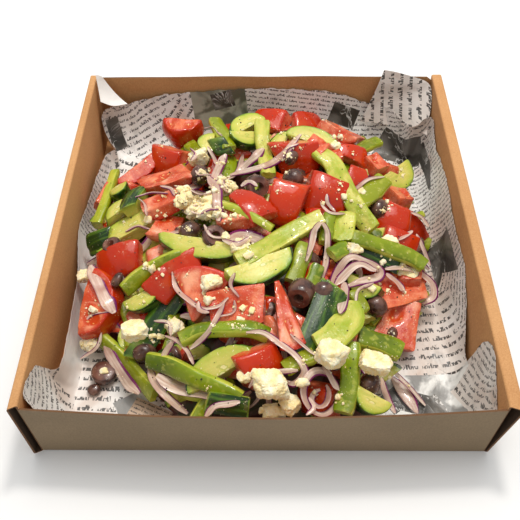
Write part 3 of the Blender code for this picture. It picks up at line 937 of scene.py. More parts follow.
# --- Liner ---------------------------------------------------------------------------
PAPER = 0.00012
LINER_STEP = 0.0021
LINER_FOOT = FLOOR_Z + 0.0009  # height of the paper on the tray's floor
FLOOR_ROWS, SIDE_ROWS, FLAP_ROWS = 17, 20, 18  # rings and rows of points over the sheet
PAPER_SPACE = ((-108.0, -112.4), (106.0, 114.1))  # what the walls leave, in millimetres
FOOT_SPACE = ((-97.0, -101.0), (95.0, 93.0))  # where the paper leaves the floor
FOOT_CORNER = 14.0
# The sheet's edge right round, from the front left corner by the front: millimetres.
FRONT_EDGE = [
    (-107.6, -107.5, 44), (-104, -112, 41), (-98, -112, 37), (-88, -112, 33), (-50, -112, 31),
    (0, -112, 30), (50, -112, 31), (86, -112, 32), (98, -112, 35), (104, -112, 33),
]
RIGHT_EDGE = [
    (106, -107.6, 32.8), (106, -100.4, 38), (106, -92.7, 42.8), (106, -85.3, 46.3),
    (106, -79.7, 45), (105.8, -75.1, 39.3), (105.6, -71.8, 32.5), (105.4, -73, 27.2),
    (105.2, -75.5, 21.5), (105, -77, 15.5), (104.6, -72, 9.5), (104.2, -65, 9),
    (104.2, -57, 16), (105.8, -41, 24.5), (106, -23.7, 33), (106, -9.8, 31.8),
    (106, 8.9, 31.2), (106, 22.1, 33.5), (106, 37.3, 34.2), (106, 59.9, 31.2),
    (106, 68.7, 28.7), (106, 79.8, 31), (106, 89, 37),
]
BACK_EDGE = [
    (102, 92, 35.5), (97, 89, 32), (92, 87, 30), (88, 94, 31), (82, 104, 31.5),
    (76, 110, 30.5), (67, 113.6, 29), (55, 113.8, 34), (42, 113.8, 38), (22, 113.8, 39.6),
    (3, 113.8, 40.5), (-16, 113.8, 40.2), (-33, 113.8, 39), (-49, 113.6, 37.5),
    (-65, 113, 36.8), (-70, 112, 36), (-79, 110, 35), (-87, 108, 34), (-97, 106, 33),
    (-104, 104.5, 32),
]
LEFT_EDGE = [
    (-107.4, 103, 28), (-105.8, 97.5, 21), (-101.7, 89.8, 18), (-98.4, 84.2, 17),
    (-95.6, 82.4, 16.5), (-99.6, 81, 17.5), (-102.2, 75, 18), (-104, 66, 18), (-105.2, 53, 18),
    (-106.8, 40, 18), (-107.8, 28, 18.5), (-107.8, 12.5, 22.9), (-107.4, 3.6, 20),
    (-104.8, -12.3, 20), (-102.7, -25, 20), (-102.6, -38, 20), (-102.5, -57, 20),
    (-102.4, -75, 20), (-103, -81, 20.5), (-107.6, -83, 27), (-107.8, -88.3, 39.5),
    (-107.8, -98.2, 44.6), (-107.8, -105, 46.8),
]
# Flaps at the back: the points of their upper edge, then of their lower edge.
LEFT_FLAP = [
    [(-107.6, 112.4, 52.8), (-105.6, 112.6, 52.3), (-103.8, 112.6, 51.4)],
    [(-104.6, 99.8, 41.6), (-97.5, 101.2, 37.2), (-89, 104.6, 36)],
]
RIGHT_FLAP = [
    [(74.8, 113.6, 55.1), (83.5, 113.8, 53), (95.2, 113.4, 49.5), (103.4, 112, 46.6),
     (105.9, 107.5, 43), (105.9, 100.9, 36)],
    [(63, 106, 20), (74, 104, 20), (88, 100, 20), (96, 96, 22), (101, 90, 24), (103, 85, 26)],
]


def foot_loop(at):
    """Points where the paper leaves the floor, at shares of the way round, and outwards."""
    (low_x, low_y), (high_x, high_y) = FOOT_SPACE
    corners = [(low_x, low_y), (high_x, low_y), (high_x, high_y), (low_x, high_y)]
    loop = rounded(corners, FOOT_CORNER, 8)
    loop = np.vstack([loop, loop[:1]])
    way = reaches(loop)
    way /= way[-1]
    place = points_at(loop, way, at % 1)
    along = points_at(loop, way, (at + 0.002) % 1) - place
    out = np.column_stack([along[:, 1], -along[:, 0]])
    return place, out / np.linalg.norm(out, axis=1)[:, None]


def liner_edge():
    """The sheet's edge in even steps and the shares of the foot's loop below them."""
    stations = np.array([*FRONT_EDGE, *RIGHT_EDGE, *BACK_EDGE, *LEFT_EDGE], float)
    dense = smooth_loop(stations, LINER_STEP / MM)
    shares = np.arange(0, 1, 0.001)
    foot = foot_loop(shares)[0]
    apart = np.linalg.norm(dense[:, None, :2] - foot[None], axis=2)
    at = shares[apart.argmin(1)]
    turns = np.concatenate([[0], np.cumsum(np.diff(at) < -0.5)])
    turns = turns - (np.concatenate([[0], np.cumsum(np.diff(at) > 0.5)]))
    at = np.maximum.accumulate(at + turns)
    at = np.minimum(at, at[0] + 1)
    kernel = np.hanning(9)
    padded = np.concatenate([at[-4:] - 1, at, at[:4] + 1])
    return dense, np.convolve(padded, kernel / kernel.sum(), "valid")


def smooth_loop(stations, spacing):
    """A closed curve through the stations, rounded a little, in even steps."""
    loop = np.vstack([stations, stations[:1]])
    way = reaches(loop)
    dense = points_at(loop, way, np.linspace(0, way[-1], int(way[-1] / spacing), endpoint=False))
    padded = np.vstack([dense[-1:], dense, dense[:1]])
    return 0.25 * padded[:-2] + 0.5 * padded[1:-1] + 0.25 * padded[2:]


class Creases:
    """Flat facets with sharp folds between them, over the sheet laid flat."""

    def __init__(self, spacing, height, rng):
        self.height = height
        side = np.arange(-0.20, 0.20, spacing)
        points = [
            (x + rng.uniform(-0.5, 0.5) * spacing, y + rng.uniform(-0.5, 0.5) * spacing)
            for x in side for y in side
        ]
        made = geometry.delaunay_2d_cdt([Vector(p) for p in points], [], [], 0, 1e-9)
        corners = [(p.x, p.y, rng.random()) for p in made[0]]
        self.tree = BVHTree.FromPolygons(corners, [list(f) for f in made[2]])

    def at(self, flat):
        found = [self.tree.ray_cast(Vector((u, v, 2.0)), Vector((0, 0, -1)))[0] for u, v in flat]
        return np.array([p.z if p else 0.5 for p in found]) * self.height


def grid_normals(grid, closed):
    """Unit normals of a grid of points, of which rows may be closed loops."""
    if closed:
        along = np.roll(grid, -1, 1) - np.roll(grid, 1, 1)
    else:
        along = np.gradient(grid, axis=1)
    normal = np.cross(along, np.gradient(grid, axis=0))
    normal /= np.linalg.norm(normal, axis=2)[..., None] + 1e-12
    return -normal if normal[..., 2].mean() < 0 else normal


def creased(grid, flat, firm, closed, creases):
    """The grid pushed out of its plane by the creases, within the tray's walls.

    firm is, row by row, how much of the creasing is left.
    """
    shape = grid.shape
    push = sum(c.at(flat.reshape(-1, 2)) - c.height / 2 for c in creases).reshape(shape[:2])
    grid = grid + grid_normals(grid, closed) * (push * firm[:, None])[..., None]
    for k in (0, 1):
        grid[..., k] = np.clip(grid[..., k], PAPER_SPACE[0][k] * MM, PAPER_SPACE[1][k] * MM)
    grid[..., 2] = np.maximum(grid[..., 2], FLOOR_Z + 0.2 * MM)
    return grid


def make_liner(surface, rng):
    """The sheet of paper: floor, sides up to the torn edge, all of it lightly creased."""
    edge, at = liner_edge()
    edge = edge * MM
    foot, out = foot_loop(at)
    foot = foot * MM
    steps = np.arange(len(edge))
    edge[:, 2] += 0.0004 * np.sin(steps * 1.9) + 0.0003 * np.sin(steps * 0.77)
    rows, flats = [], []
    for share in np.linspace(0.10, 1.0, FLOOR_ROWS):
        rows.append(np.column_stack([foot * share, np.full(len(foot), LINER_FOOT)]))
        flats.append(foot * share)
    start = rows[-1]
    below = edge.copy()
    below[:, :2] = foot + (edge[:, :2] - foot) * 0.80
    below[:, 2] = LINER_FOOT + (edge[:, 2] - FLOOR_Z) * 0.10
    gone = np.zeros(len(edge))
    for t in np.linspace(0, 1, SIDE_ROWS + 1)[1:]:
        row = start * (1 - t) ** 2 + below * 2 * t * (1 - t) + edge * t**2
        gone = gone + np.linalg.norm(row - rows[-1], axis=1)
        rows.append(row)
        flats.append(foot + out * gone[:, None])
    grid, flat = np.array(rows), np.array(flats)
    firm = np.concatenate([np.full(FLOOR_ROWS, 0.8), np.linspace(0.9, 0.35, SIDE_ROWS)])
    creases = [Creases(0.030, 0.0034, rng), Creases(0.012, 0.0016, rng), Creases(0.005, 0.0004, rng)]
    grid = creased(grid, flat, firm, True, creases)
    sheets = [closed_sheet(grid, flat, True)]
    for top, bottom, shift in ((*LEFT_FLAP, (-0.16, 0.17)), (*RIGHT_FLAP, (0.0, 0.035))):
        grid, flat = flap(top, bottom, shift)
        grid = creased(grid, flat, np.full(len(grid), 0.45), False, creases)
        sheets.append(closed_sheet(grid, flat, False))
    return paper_piece("liner_paper", sheets, surface)


def flap(top, bottom, shift):
    """A sheet between two edges, hollowed a little, and its place on the sheet laid flat."""
    top, bottom = (smooth_path(np.array(line) * MM, CELL) for line in (top, bottom))
    count = max(len(top), len(bottom))
    top, bottom = (resample(line, count=count) for line in (top, bottom))
    rows, flats = [], []
    for t in np.linspace(0, 1, FLAP_ROWS):
        row = bottom * (1 - t) + top * t
        row[:, 2] -= 0.0022 * math.sin(math.pi * t)
        rows.append(row)
        flats.append(row[:, :2] * (1, 0) + np.column_stack([
            np.full(count, shift[0]), row[:, 2] * 1.3 + shift[1] + 0.09,
        ]))
    return np.array(rows), np.array(flats)


def closed_sheet(grid, flat, closed):
    """A closed thin body from a grid of points: its points, faces and flat places."""
    rows, around = grid.shape[:2]
    normal = grid_normals(grid, closed).reshape(-1, 3)
    upper, laid = grid.reshape(-1, 3), flat.reshape(-1, 2)
    lower = upper - normal * PAPER
    quads = grid_quads(np.arange(rows * around).reshape(rows, around), closed)[:, [0, 3, 2, 1]]
    last = (rows - 1) * around
    if closed:
        hub = np.array([[0.0, 0.0, FLOOR_Z + 1.2 * MM]])
        upper, lower = np.vstack([upper, hub]), np.vstack([lower, hub - (0, 0, PAPER)])
        laid = np.vstack([laid, [[0, 0]]])
        rim = np.arange(around) + last
        step = np.arange(around)
        fan = np.stack([np.full(around, rows * around), step, (step + 1) % around], -1)
    else:
        fan = np.zeros((0, 3), int)
        rim = np.concatenate([
            np.arange(around), np.arange(1, rows) * around + around - 1,
            last + np.arange(around - 2, -1, -1), np.arange(rows - 2, 0, -1) * around,
        ])
    count = len(upper)
    ahead = np.roll(rim, -1)
    side = np.stack([rim, rim + count, ahead + count, ahead], -1)
    faces = (
        quads.tolist() + fan.tolist() + (quads[:, ::-1] + count).tolist()
        + (fan[:, ::-1] + count).tolist() + side.tolist()
    )
    return np.vstack([upper, lower]), faces, np.vstack([laid, laid])


def paper_piece(name, sheets, surface):
    """One mesh of the sheets, with the paper laid flat as its UV map."""
    points, faces, laid, start = [], [], [], 0
    for places, sides, flat in sheets:
        points.append(places)
        laid.append(flat)
        faces += [[i + start for i in face] for face in sides]
        start += len(places)
    mesh = bpy.data.meshes.new(name)
    mesh.from_pydata(np.vstack(points).tolist(), [], faces)
    mesh.materials.append(surface)
    layer = mesh.uv_layers.new(name="Sheet")
    corners = np.zeros(len(mesh.loops), np.int32)
    mesh.loops.foreach_get("vertex_index", corners)
    layer.data.foreach_set("uv", np.vstack(laid)[corners].astype(np.float32).reshape(-1))
    mesh.shade_smooth()
    mesh.set_sharp_from_angle(angle=math.radians(30))
    piece = new_object(name, mesh)
    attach(piece, "root")
    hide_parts("paper_liner")
    return piece


# Patches of print on the sheet laid flat, later ones over earlier ones: middle, half
# size and turn, then the kind of print and the spacing of its lines, in millimetres.
# Patches of the fourth kind are not print: grey and white blotches that paint the highlights and shade
# of crumpled folds.
TEXT, PICTURE, BLANK, GREY, PAINTED_FOLD_LIGHT, BROWN = 0.0, 1.0, 2.0, 3.0, 4.0, 5.0
LINE_PITCH = 0.0033  # spacing of the lines of print where no patch lies
PRINT = [
    (-66, 70, 46, 60, 28, TEXT, 4.0), (-74, 112, 38, 24, 30, TEXT, 4.4),
    (-97, 84, 15, 10, -25, TEXT, 8.0), (-104, 104, 5, 11, 36, PICTURE, 3.0),
    (-50, 119, 8, 16, 55, TEXT, 5.0),
    (30, 130, 46, 12, -8, TEXT, 3.2), (-30, 126, 18, 15, 6, GREY, 3.0),
    (-28, 131, 7, 6, 15, PICTURE, 3.0), (52, 120, 9, 7, -18, PICTURE, 3.0),
    (90, 172, 30, 28, 93, TEXT, 6.0), (91, 95, 17, 11, -25, PICTURE, 3.0),
    (109, 72, 5, 20, 8, PICTURE, 3.0), (128, 36, 22, 30, -16, TEXT, 3.0),
    (108, -5, 11, 16, 4, PICTURE, 3.0), (126, -40, 14, 34, 60, TEXT, 3.4),
    (84, -49, 26, 25, 5, TEXT, 5.4), (86, -90, 26, 17, 3, PAINTED_FOLD_LIGHT, 3.0),
    (76, -89, 11, 6, -14, PICTURE, 3.0), (67, -87, 7, 6, 38, PICTURE, 3.0),
    (85, -92, 6, 6, 30, PICTURE, 3.0), (124, -90, 20, 22, -62, TEXT, 4.2),
    (-84, -84, 22, 26, -3, TEXT, 5.6), (-66, -94, 8, 10, 30, PAINTED_FOLD_LIGHT, 3.0),
    (-52, -104, 20, 11, -24, BROWN, 2.2),
    (-123, -36, 24, 47, 2, BLANK, 3.0), (-124, -100, 18, 18, -60, TEXT, 4.6),
    (-258, 318, 18, 20, 0, BLANK, 3.0),
]


def paper_material():
    """Waxed newsprint: oily patches, blurred lines of print, dark blocks of picture, and painted
    highlights and shade on folds.
    """
    made = Surface("greaseproof_paper", Roughness=0.36, IOR=1.45)
    flat = made.node("ShaderNodeUVMap", uv_map="Sheet").outputs["UV"]
    place, kind, pitch = flat, TEXT, LINE_PITCH
    for x, y, half_x, half_y, turn, sort, spacing in PRINT:
        moved = made.node("ShaderNodeMapping", {
            "Vector": flat, "Location": (x * MM, y * MM, 0.0),
            "Rotation": (0.0, 0.0, math.radians(turn)),
        }, vector_type="TEXTURE")
        parts = made.node("ShaderNodeSeparateXYZ", {0: moved.outputs[0]})
        across = made.math("LESS_THAN", made.math("ABSOLUTE", parts.outputs[0]), half_x * MM)
        along = made.math("LESS_THAN", made.math("ABSOLUTE", parts.outputs[1]), half_y * MM)
        inside = made.times(across, along)
        choice = made.node("ShaderNodeMix", data_type="VECTOR")
        made.put(choice.inputs[0], inside)
        made.put(choice.inputs[4], place)
        made.put(choice.inputs[5], moved.outputs[0])
        place = choice.outputs[1]
        kind = made.node("ShaderNodeMix", {0: inside, 2: kind, 3: sort}).outputs[0]
        pitch = made.node("ShaderNodeMix", {0: inside, 2: pitch, 3: spacing * MM}).outputs[0]
    ink = print_ink(made, place, kind, pitch)
    picture = made.math("COMPARE", kind, PICTURE)
    grey = made.math("COMPARE", kind, GREY)
    blotches = made.noise(flat, 70.0, 4.0, 0.6)
    shade = made.mix(made.band(blotches, 0.38, 0.66), (58, 55, 50), (112, 108, 102))
    wrinkle = made.noise(made.stretch(flat, (1.0, 0.6, 1.0)), 95.0, 4.0, 1.2)
    ridge = made.math("ABSOLUTE", made.minus(wrinkle, 0.5))
    glint = made.times(made.band(ridge, 0.022, 0.004),
                      made.band(made.noise(flat, 40.0, 2.0), 0.46, 0.60))
    shade = made.tint(shade, glint, (222, 220, 216), 0.8)
    grey_shade = made.mix(made.band(blotches, 0.42, 0.58), (162, 162, 146), (98, 98, 84))
    # Light and dark grey blotches for crumpled folds: painted highlights and painted shade.
    painted_fold_light = made.mix(made.band(blotches, 0.44, 0.58), (226, 226, 222), (136, 135, 132))
    oil = made.band(made.noise(flat, 15.0, 3.0), 0.42, 0.62)
    stock = made.mix(oil, (236, 233, 229), (213, 203, 194))
    stain = made.band(made.noise(flat, 31.0, 3.0, 0.5), 0.56, 0.68)
    stock = made.tint(stock, stain, (206, 180, 164), 0.55)
    ghost = made.band(made.noise(flat, 60.0, 3.0), 0.58, 0.70)
    stock = made.tint(stock, ghost, (176, 174, 170), 0.45)
    stock = made.mix(made.math("COMPARE", kind, BROWN), stock, (190, 164, 140))
    colour = made.mix(made.times(ink, 0.92), stock, (50, 47, 45))
    colour = made.mix(picture, colour, shade)
    colour = made.mix(grey, colour, grey_shade)
    colour = made.mix(made.math("COMPARE", kind, PAINTED_FOLD_LIGHT), colour, painted_fold_light)
    fine = made.noise(flat, 260.0, 4.0, 0.6)
    made.bump(made.plus(made.times(ridge, -3.0), fine), 0.0004, 0.45)
    return made.finish(colour)


def print_ink(made, place, kind, pitch):
    """Rows of small uneven strokes that read as blurred lines of print, where it is text."""
    parts = made.node("ShaderNodeSeparateXYZ", {0: place})
    row = made.math("DIVIDE", parts.outputs[1], pitch)
    line = made.math("FLOOR", row)
    within = made.minus(row, line)
    along = made.math("DIVIDE", parts.outputs[0], pitch)
    letters = made.plus(made.times(along, 2.7), made.times(line, 17.3))
    chance = made.node("ShaderNodeTexWhiteNoise", {"W": made.math("FLOOR", letters)},
                       noise_dimensions="1D").outputs["Value"]
    tall = made.times(made.math("GREATER_THAN", chance, 0.70), 0.20)
    rows = made.times(made.math("GREATER_THAN", within, 0.22),
                     made.math("LESS_THAN", within, made.plus(tall, 0.56)))
    words = made.node("ShaderNodeTexVoronoi", {
        "W": made.times(letters, 0.17), "Scale": 1.0, "Randomness": 0.8,
    }, voronoi_dimensions="1D", feature="DISTANCE_TO_EDGE").outputs["Distance"]
    shapes = made.node("ShaderNodeCombineXYZ", {
        0: made.times(letters, 2.6), 1: made.times(within, 2.6),
        2: made.times(line, 3.7),
    }).outputs[0]
    strokes = made.noise(shapes, 1.0, 1.0)
    ink = made.times(rows, made.band(words, 0.07, 0.10))
    ink = made.times(ink, made.band(strokes, 0.43, 0.49))
    written = made.plus(made.math("COMPARE", kind, TEXT), made.math("COMPARE", kind, BROWN))
    return made.times(ink, written)


# --- Tray ------------------------------------------------------------------------------
BOARD = 0.0009
SIDE_WALL_FRONT = TRAY_LOW.y + 0.0022
SIDE_WALL_SPLAY = 0.0022  # how much further back the inner face ends
SIDE_WALL_BACK = TRAY_HIGH.y
FRONT_PANEL_Y = TRAY_LOW.y + 0.0046
BACK_PANEL_Y = TRAY_HIGH.y - 0.0025
FRONT_BOW = 0.0042
BACK_BOW = 0.0008
PANEL_CORNER = 0.0030
RIM_RADIUS = 0.0011
# Inside the side tubes the board gets a near-black kraft: painted shade.
INSIDE, CUT_EDGE, IN_TUBE_PAINTED_SHADE, OUTSIDE = range(4)  # which board surface a face shows
# Sections of the side walls: outer foot, outer rim, inner rim, inner foot.
LEFT_WALL = [(-0.1131, 0.0), (-0.1128, RIM), (-0.1085, RIM), (-0.1088, 0.0)]
RIGHT_WALL = [(0.1086, 0.0), (0.1130, RIM), (0.1065, RIM), (0.1065, 0.0)]


def rounded(corners, radius, steps=5):
    """An outline whose corners are arcs."""
    corners = np.asarray(corners, float)
    loop = []
    for i, here in enumerate(corners):
        back = corners[i - 1] - here
        ahead = corners[(i + 1) % len(corners)] - here
        back, ahead = back / np.linalg.norm(back), ahead / np.linalg.norm(ahead)
        half = math.acos(np.clip(back @ ahead, -1, 1)) / 2
        start, end = here + back * radius / math.tan(half), here + ahead * radius / math.tan(half)
        centre = here + (back + ahead) / np.linalg.norm(back + ahead) * radius / math.sin(half)
        for k in range(steps + 1):
            spoke = start + (end - start) * k / steps - centre
            loop.append(centre + spoke / np.linalg.norm(spoke) * radius)
    return np.array(loop)


def inset(outline, distance):
    """An outline moved inwards along its points' normals."""
    along = np.roll(outline, -1, 0) - np.roll(outline, 1, 0)
    normal = np.column_stack([-along[:, 1], along[:, 0]])
    normal /= np.linalg.norm(normal, axis=1)[:, None]
    towards = outline.mean(0) - outline
    normal[np.einsum("ij,ij->i", normal, towards) < 0] *= -1
    return outline + normal * distance


def side_tube(section, stations=50):
    """A side wall: a flat tube of board, open at both ends, its sides a little wavy."""
    outer = rounded(section, RIM_RADIUS)
    inner = inset(outer, BOARD * 0.8)
    count = len(outer)
    outermost = np.abs(outer[:, 0]).max()
    # The outermost band of faces takes the darker, greyer outer kraft, which is partly painted shade.
    outside = np.where(np.arange(count) == count // 4 - 1, OUTSIDE, INSIDE)
    ys = np.linspace(SIDE_WALL_FRONT, SIDE_WALL_BACK, stations)
    points = []
    for y in ys:
        middle = 1 - (2 * (y - ys[0]) / (ys[-1] - ys[0]) - 1) ** 2
        for loop in (outer, inner):
            up = loop[:, 1] / RIM
            sway = 0.0005 * middle * np.sin(up * math.pi) * (1 if section[0][0] < 0 else -1)
            inwards = (outermost - np.abs(loop[:, 0])) / (outermost - np.abs(outer[:, 0]).min())
            at = y + SIDE_WALL_SPLAY * inwards * (y == ys[0])
            points.append(np.column_stack([loop[:, 0] + sway, at, loop[:, 1]]))
    numbers = np.arange(stations * 2 * count).reshape(stations, 2, count)
    quads, slots = [], []
    for k in range(stations - 1):
        quads += [grid_quads(numbers[k : k + 2, 0]), grid_quads(numbers[k : k + 2, 1])[:, ::-1]]
        # Faces inside the tube take the near-black kraft, which is painted shade.
        slots += [outside, np.full(count, IN_TUBE_PAINTED_SHADE)]
    quads += [grid_quads(numbers[0])[:, ::-1], grid_quads(numbers[-1])]
    slots.append(np.full(2 * count, CUT_EDGE))
    return quad_body(np.vstack(points), np.vstack(quads), np.concatenate(slots))


def end_panel(middle_y, height, bow, corner, columns=60, rows=14):
    """The front or back panel, whose top edge bulges out by bow; its edges are cut board."""
    # The outer face takes the darker, greyer kraft, which is partly painted shade.
    faces = (OUTSIDE, INSIDE) if middle_y < 0 else (INSIDE, OUTSIDE)
    low_x, high_x = LEFT_WALL[3][0] - BOARD * 0.4, RIGHT_WALL[3][0] + BOARD * 0.4
    across, up = np.meshgrid(np.linspace(0, 1, columns + 1), np.linspace(0, 1, rows + 1), indexing="ij")
    x = low_x + (high_x - low_x) * across
    edge = np.minimum(x - low_x, high_x - x)
    drop = corner - np.sqrt(np.maximum(0, corner**2 - np.maximum(0, corner - edge) ** 2))
    z = BOARD * 0.3 + (height - drop - BOARD * 0.3) * up
    z = z + 0.00025 * up * np.sin(across * 21) * np.sin(math.pi * across)
    bulge = bow * np.sin(math.pi * across) * up**1.4
    layers = [np.stack([x, middle_y + BOARD * s + bulge, z], -1) for s in (-0.5, 0.5)]
    points = np.array(layers).reshape(-1, 3)
    numbers = np.arange(len(points)).reshape(2, columns + 1, rows + 1)
    front = grid_quads(numbers[0], closed=False)[:, [0, 3, 2, 1]]
    quads = [front, front[:, ::-1] + numbers[1, 0, 0]]
    slots = [np.repeat(faces, len(front)), np.full(2 * (columns + rows), CUT_EDGE)]
    for rim in (numbers[:, :, -1], numbers[::-1, :, 0], numbers[:, 0], numbers[::-1, -1]):
        quads.append(grid_quads(rim, closed=False))
    return quad_body(points, np.vstack(quads), np.concatenate(slots))


def floor_board():
    low = (LEFT_WALL[3][0] - BOARD * 0.4, FRONT_PANEL_Y, 0.0)
    high = (RIGHT_WALL[3][0] + BOARD * 0.4, BACK_PANEL_Y, BOARD)
    outline = np.array([(low[0], low[1]), (high[0], low[1]), (high[0], high[1]), (low[0], high[1])])
    loops = []
    for share, z in ((0.5, BOARD), (1, BOARD), (1, 0.0), (0.5, 0.0)):
        middle = outline.mean(0)
        loops.append(np.column_stack([middle + (outline - middle) * share, np.full(4, z)]))
    return loft(loops, np.zeros((3, 4), int), (0, 0))


def make_tray():
    surfaces = [
        kraft_material("kraft_inside", (186, 133, 84), (210, 159, 106)), board_edge_material(),
        # Near-black kraft for the inside of the tubes: painted shade.
        kraft_material("kraft_in_tube_painted_shade", (58, 40, 24), (72, 50, 31)),
        # Darker, greyer kraft for the outer faces: partly the board's own outer side, partly painted
        # shade.
        kraft_material("kraft_outside_partly_painted_shade", (124, 105, 80), (140, 119, 91)),
    ]
    kind = Kind("tray_board", "kraft_board", surfaces, sharp=35, replaces=["tray"])
    bodies = [
        side_tube(LEFT_WALL), side_tube(RIGHT_WALL), floor_board(),
        end_panel(FRONT_PANEL_Y, RIM - 0.0036, -FRONT_BOW, 0.0),
        end_panel(BACK_PANEL_Y, RIM, BACK_BOW, PANEL_CORNER),
    ]
    for body in bodies:
        kind.add(body, body["points"], random.Random(2))
    return kind.build()


# --- Materials of the board and the food --------------------------------------------
def kraft_material(name, dark, light):
    """Kraft board: a fine speckle of fibres, faint mottling and tiny dark flecks."""
    made = Surface(name, Roughness=0.82, IOR=1.45)
    place = made.node("ShaderNodeTexCoord").outputs["Object"]
    mottle = made.noise(place, 24.0, 3.0)
    fibres = made.noise(made.stretch(place, (1.0, 1.0, 0.5)), 1300.0, 3.0, 0.0, 0.7)
    flecks = made.band(made.cells(place, 420.0), 0.11, 0.05)
    share = made.plus(made.times(made.band(fibres, 0.3, 0.7), 0.6),
                      made.times(made.band(mottle, 0.35, 0.65), 0.4))
    colour = made.mix(share, dark, light)
    fleck = tuple(0.72 * c for c in dark)
    colour = made.mix(made.times(flecks, 0.5), colour, fleck)
    made.bump(fibres, 0.0001, 0.4)
    return made.finish(colour)


def board_edge_material():
    made = Surface("kraft_cut_edge", Roughness=0.9)
    place = made.node("ShaderNodeTexCoord").outputs["Object"]
    layers = made.noise(made.stretch(place, (300.0, 1500.0, 1500.0)), 1.0, 2.0)
    colour = made.mix(layers, (84, 56, 34), (128, 90, 58))
    made.bump(layers, 0.0001, 0.6)
    return made.finish(colour)


def tomato_material():
    """Glossy red skin, paler grainy flesh on the cuts, and wet gel with seeds in hollows."""
    made = Surface("tomato", IOR=1.33, Coat_Weight=0.55, Coat_Roughness=0.07,
                   Subsurface_Weight=0.12, Subsurface_Scale=0.002)
    made.shader.inputs["Subsurface Radius"].default_value = (1.0, 0.22, 0.1)
    place = made.place()
    depth, rind, gel = made.layers()
    soft = made.noise(place, 90.0, 3.0)
    skin = made.mix(soft, (182, 34, 2), (216, 62, 10))
    skin = made.mix(made.band(made.noise(place, 38.0), 0.55, 0.75), skin, (228, 94, 24))
    skin = made.tint(skin, made.attribute("chance"), (150, 22, 4), 0.30)
    veins = made.noise(made.stretch(place, (1.0, 1.0, 0.4)), 120.0, 3.0, 0.5)
    grain = made.noise(place, 1100.0, 2.0)
    flesh = made.mix(made.band(veins, 0.34, 0.68), (204, 72, 38), (230, 122, 80))
    flesh = made.mix(made.band(soft, 0.48, 0.68), flesh, (196, 56, 26))
    streaks = made.noise(made.stretch(place, (130.0, 330.0, 260.0)), 1.0, 3.0, 0.6)
    flesh = made.tint(flesh, made.band(streaks, 0.52, 0.70),
                     (244, 170, 132), 0.35)
    watery = made.band(made.noise(place, 60.0, 2.0), 0.56, 0.70)
    flesh = made.tint(flesh, watery, (248, 180, 142), 0.75)
    flesh = made.mix(made.band(depth, 0.84, 1.0), flesh, (196, 38, 12))
    fleck = made.times(made.band(grain, 0.55, 0.75), 0.25)
    flesh = made.mix(fleck, flesh, (252, 206, 172))
    wet = made.band(gel, 0.25, 0.6)
    flesh = made.mix(wet, flesh, (200, 66, 22))
    seeds = made.band(made.cells(made.stretch(place, (1.0, 1.6, 1.0)), 330.0), 0.30, 0.22)
    seeds = made.times(made.times(seeds, wet), 0.7)
    flesh = made.mix(seeds, flesh, (236, 190, 116))
    is_skin = made.band(rind, -0.05, 0.25)
    colour = made.mix(is_skin, flesh, skin)
    rough = made.minus(0.32, made.times(is_skin, 0.12))
    relief = made.times(made.plus(veins, grain), made.minus(1.0, is_skin))
    dimples = made.times(made.noise(place, 520.0, 2.0), 0.35)
    made.bump(made.plus(relief, dimples), 0.0004, 0.5)
    # How much dressing and painted glints the piece gets: less on the skin.
    dressing_and_glints = made.minus(0.7, made.times(is_skin, 0.25))
    return made.finish_wet(place, colour, dressing_and_glints, rough)


def cucumber_material():
    """Dark ridged skin, green flesh under it, and a pale watery core with seeds."""
    made = Surface("cucumber", IOR=1.36, Coat_Weight=0.5, Coat_Roughness=0.07,
                   Subsurface_Weight=0.12, Subsurface_Scale=0.003)
    place = made.place()
    depth, rind, _ = made.layers()
    stripes = made.noise(made.stretch(place, (40.0, 420.0, 420.0)), 1.0, 2.0)
    skin = made.mix(made.band(stripes, 0.45, 0.7), (20, 54, 8), (84, 122, 28))
    skin = made.mix(made.band(made.noise(place, 55.0), 0.55, 0.8), skin, (124, 150, 46))
    soft = made.noise(place, 150.0, 4.0)
    streaks = made.noise(made.stretch(place, (60.0, 460.0, 460.0)), 1.0, 2.0)
    core = made.mix(soft, (228, 214, 124), (208, 200, 90))
    core = made.mix(made.band(streaks, 0.5, 0.7), core, (196, 194, 92))
    outer = made.mix(soft, (198, 200, 84), (172, 186, 62))
    away = made.plus(depth, made.times(made.minus(soft, 0.5), 0.3))
    flesh = made.mix(made.band(away, 0.50, 0.90), core, outer)
    flesh = made.mix(made.band(away, 0.86, 1.0), flesh, (118, 154, 36))
    flesh = made.mix(made.band(depth, 0.94, 1.0), flesh, (60, 104, 20))
    shade = made.times(made.attribute("chance"), 0.3)
    flesh = made.mix(shade, flesh, (176, 180, 72))
    beds = made.cells(made.stretch(place, (1.0, 2.0, 2.0)), 210.0)
    inside = made.band(depth, 0.62, 0.42)
    around = made.times(made.times(made.band(beds, 0.50, 0.36), inside), 0.55)
    flesh = made.mix(around, flesh, (164, 172, 62))
    seeds = made.times(made.times(made.band(beds, 0.32, 0.24), inside), 0.8)
    flesh = made.mix(seeds, flesh, (236, 226, 164))
    is_skin = made.band(rind, -0.05, 0.25)
    colour = made.mix(is_skin, flesh, skin)
    grain = made.noise(place, 800.0, 2.0)
    made.bump(made.plus(made.plus(soft, grain), stripes), 0.0003, 0.5)
    return made.finish_wet(place, colour, 0.6, 0.32)


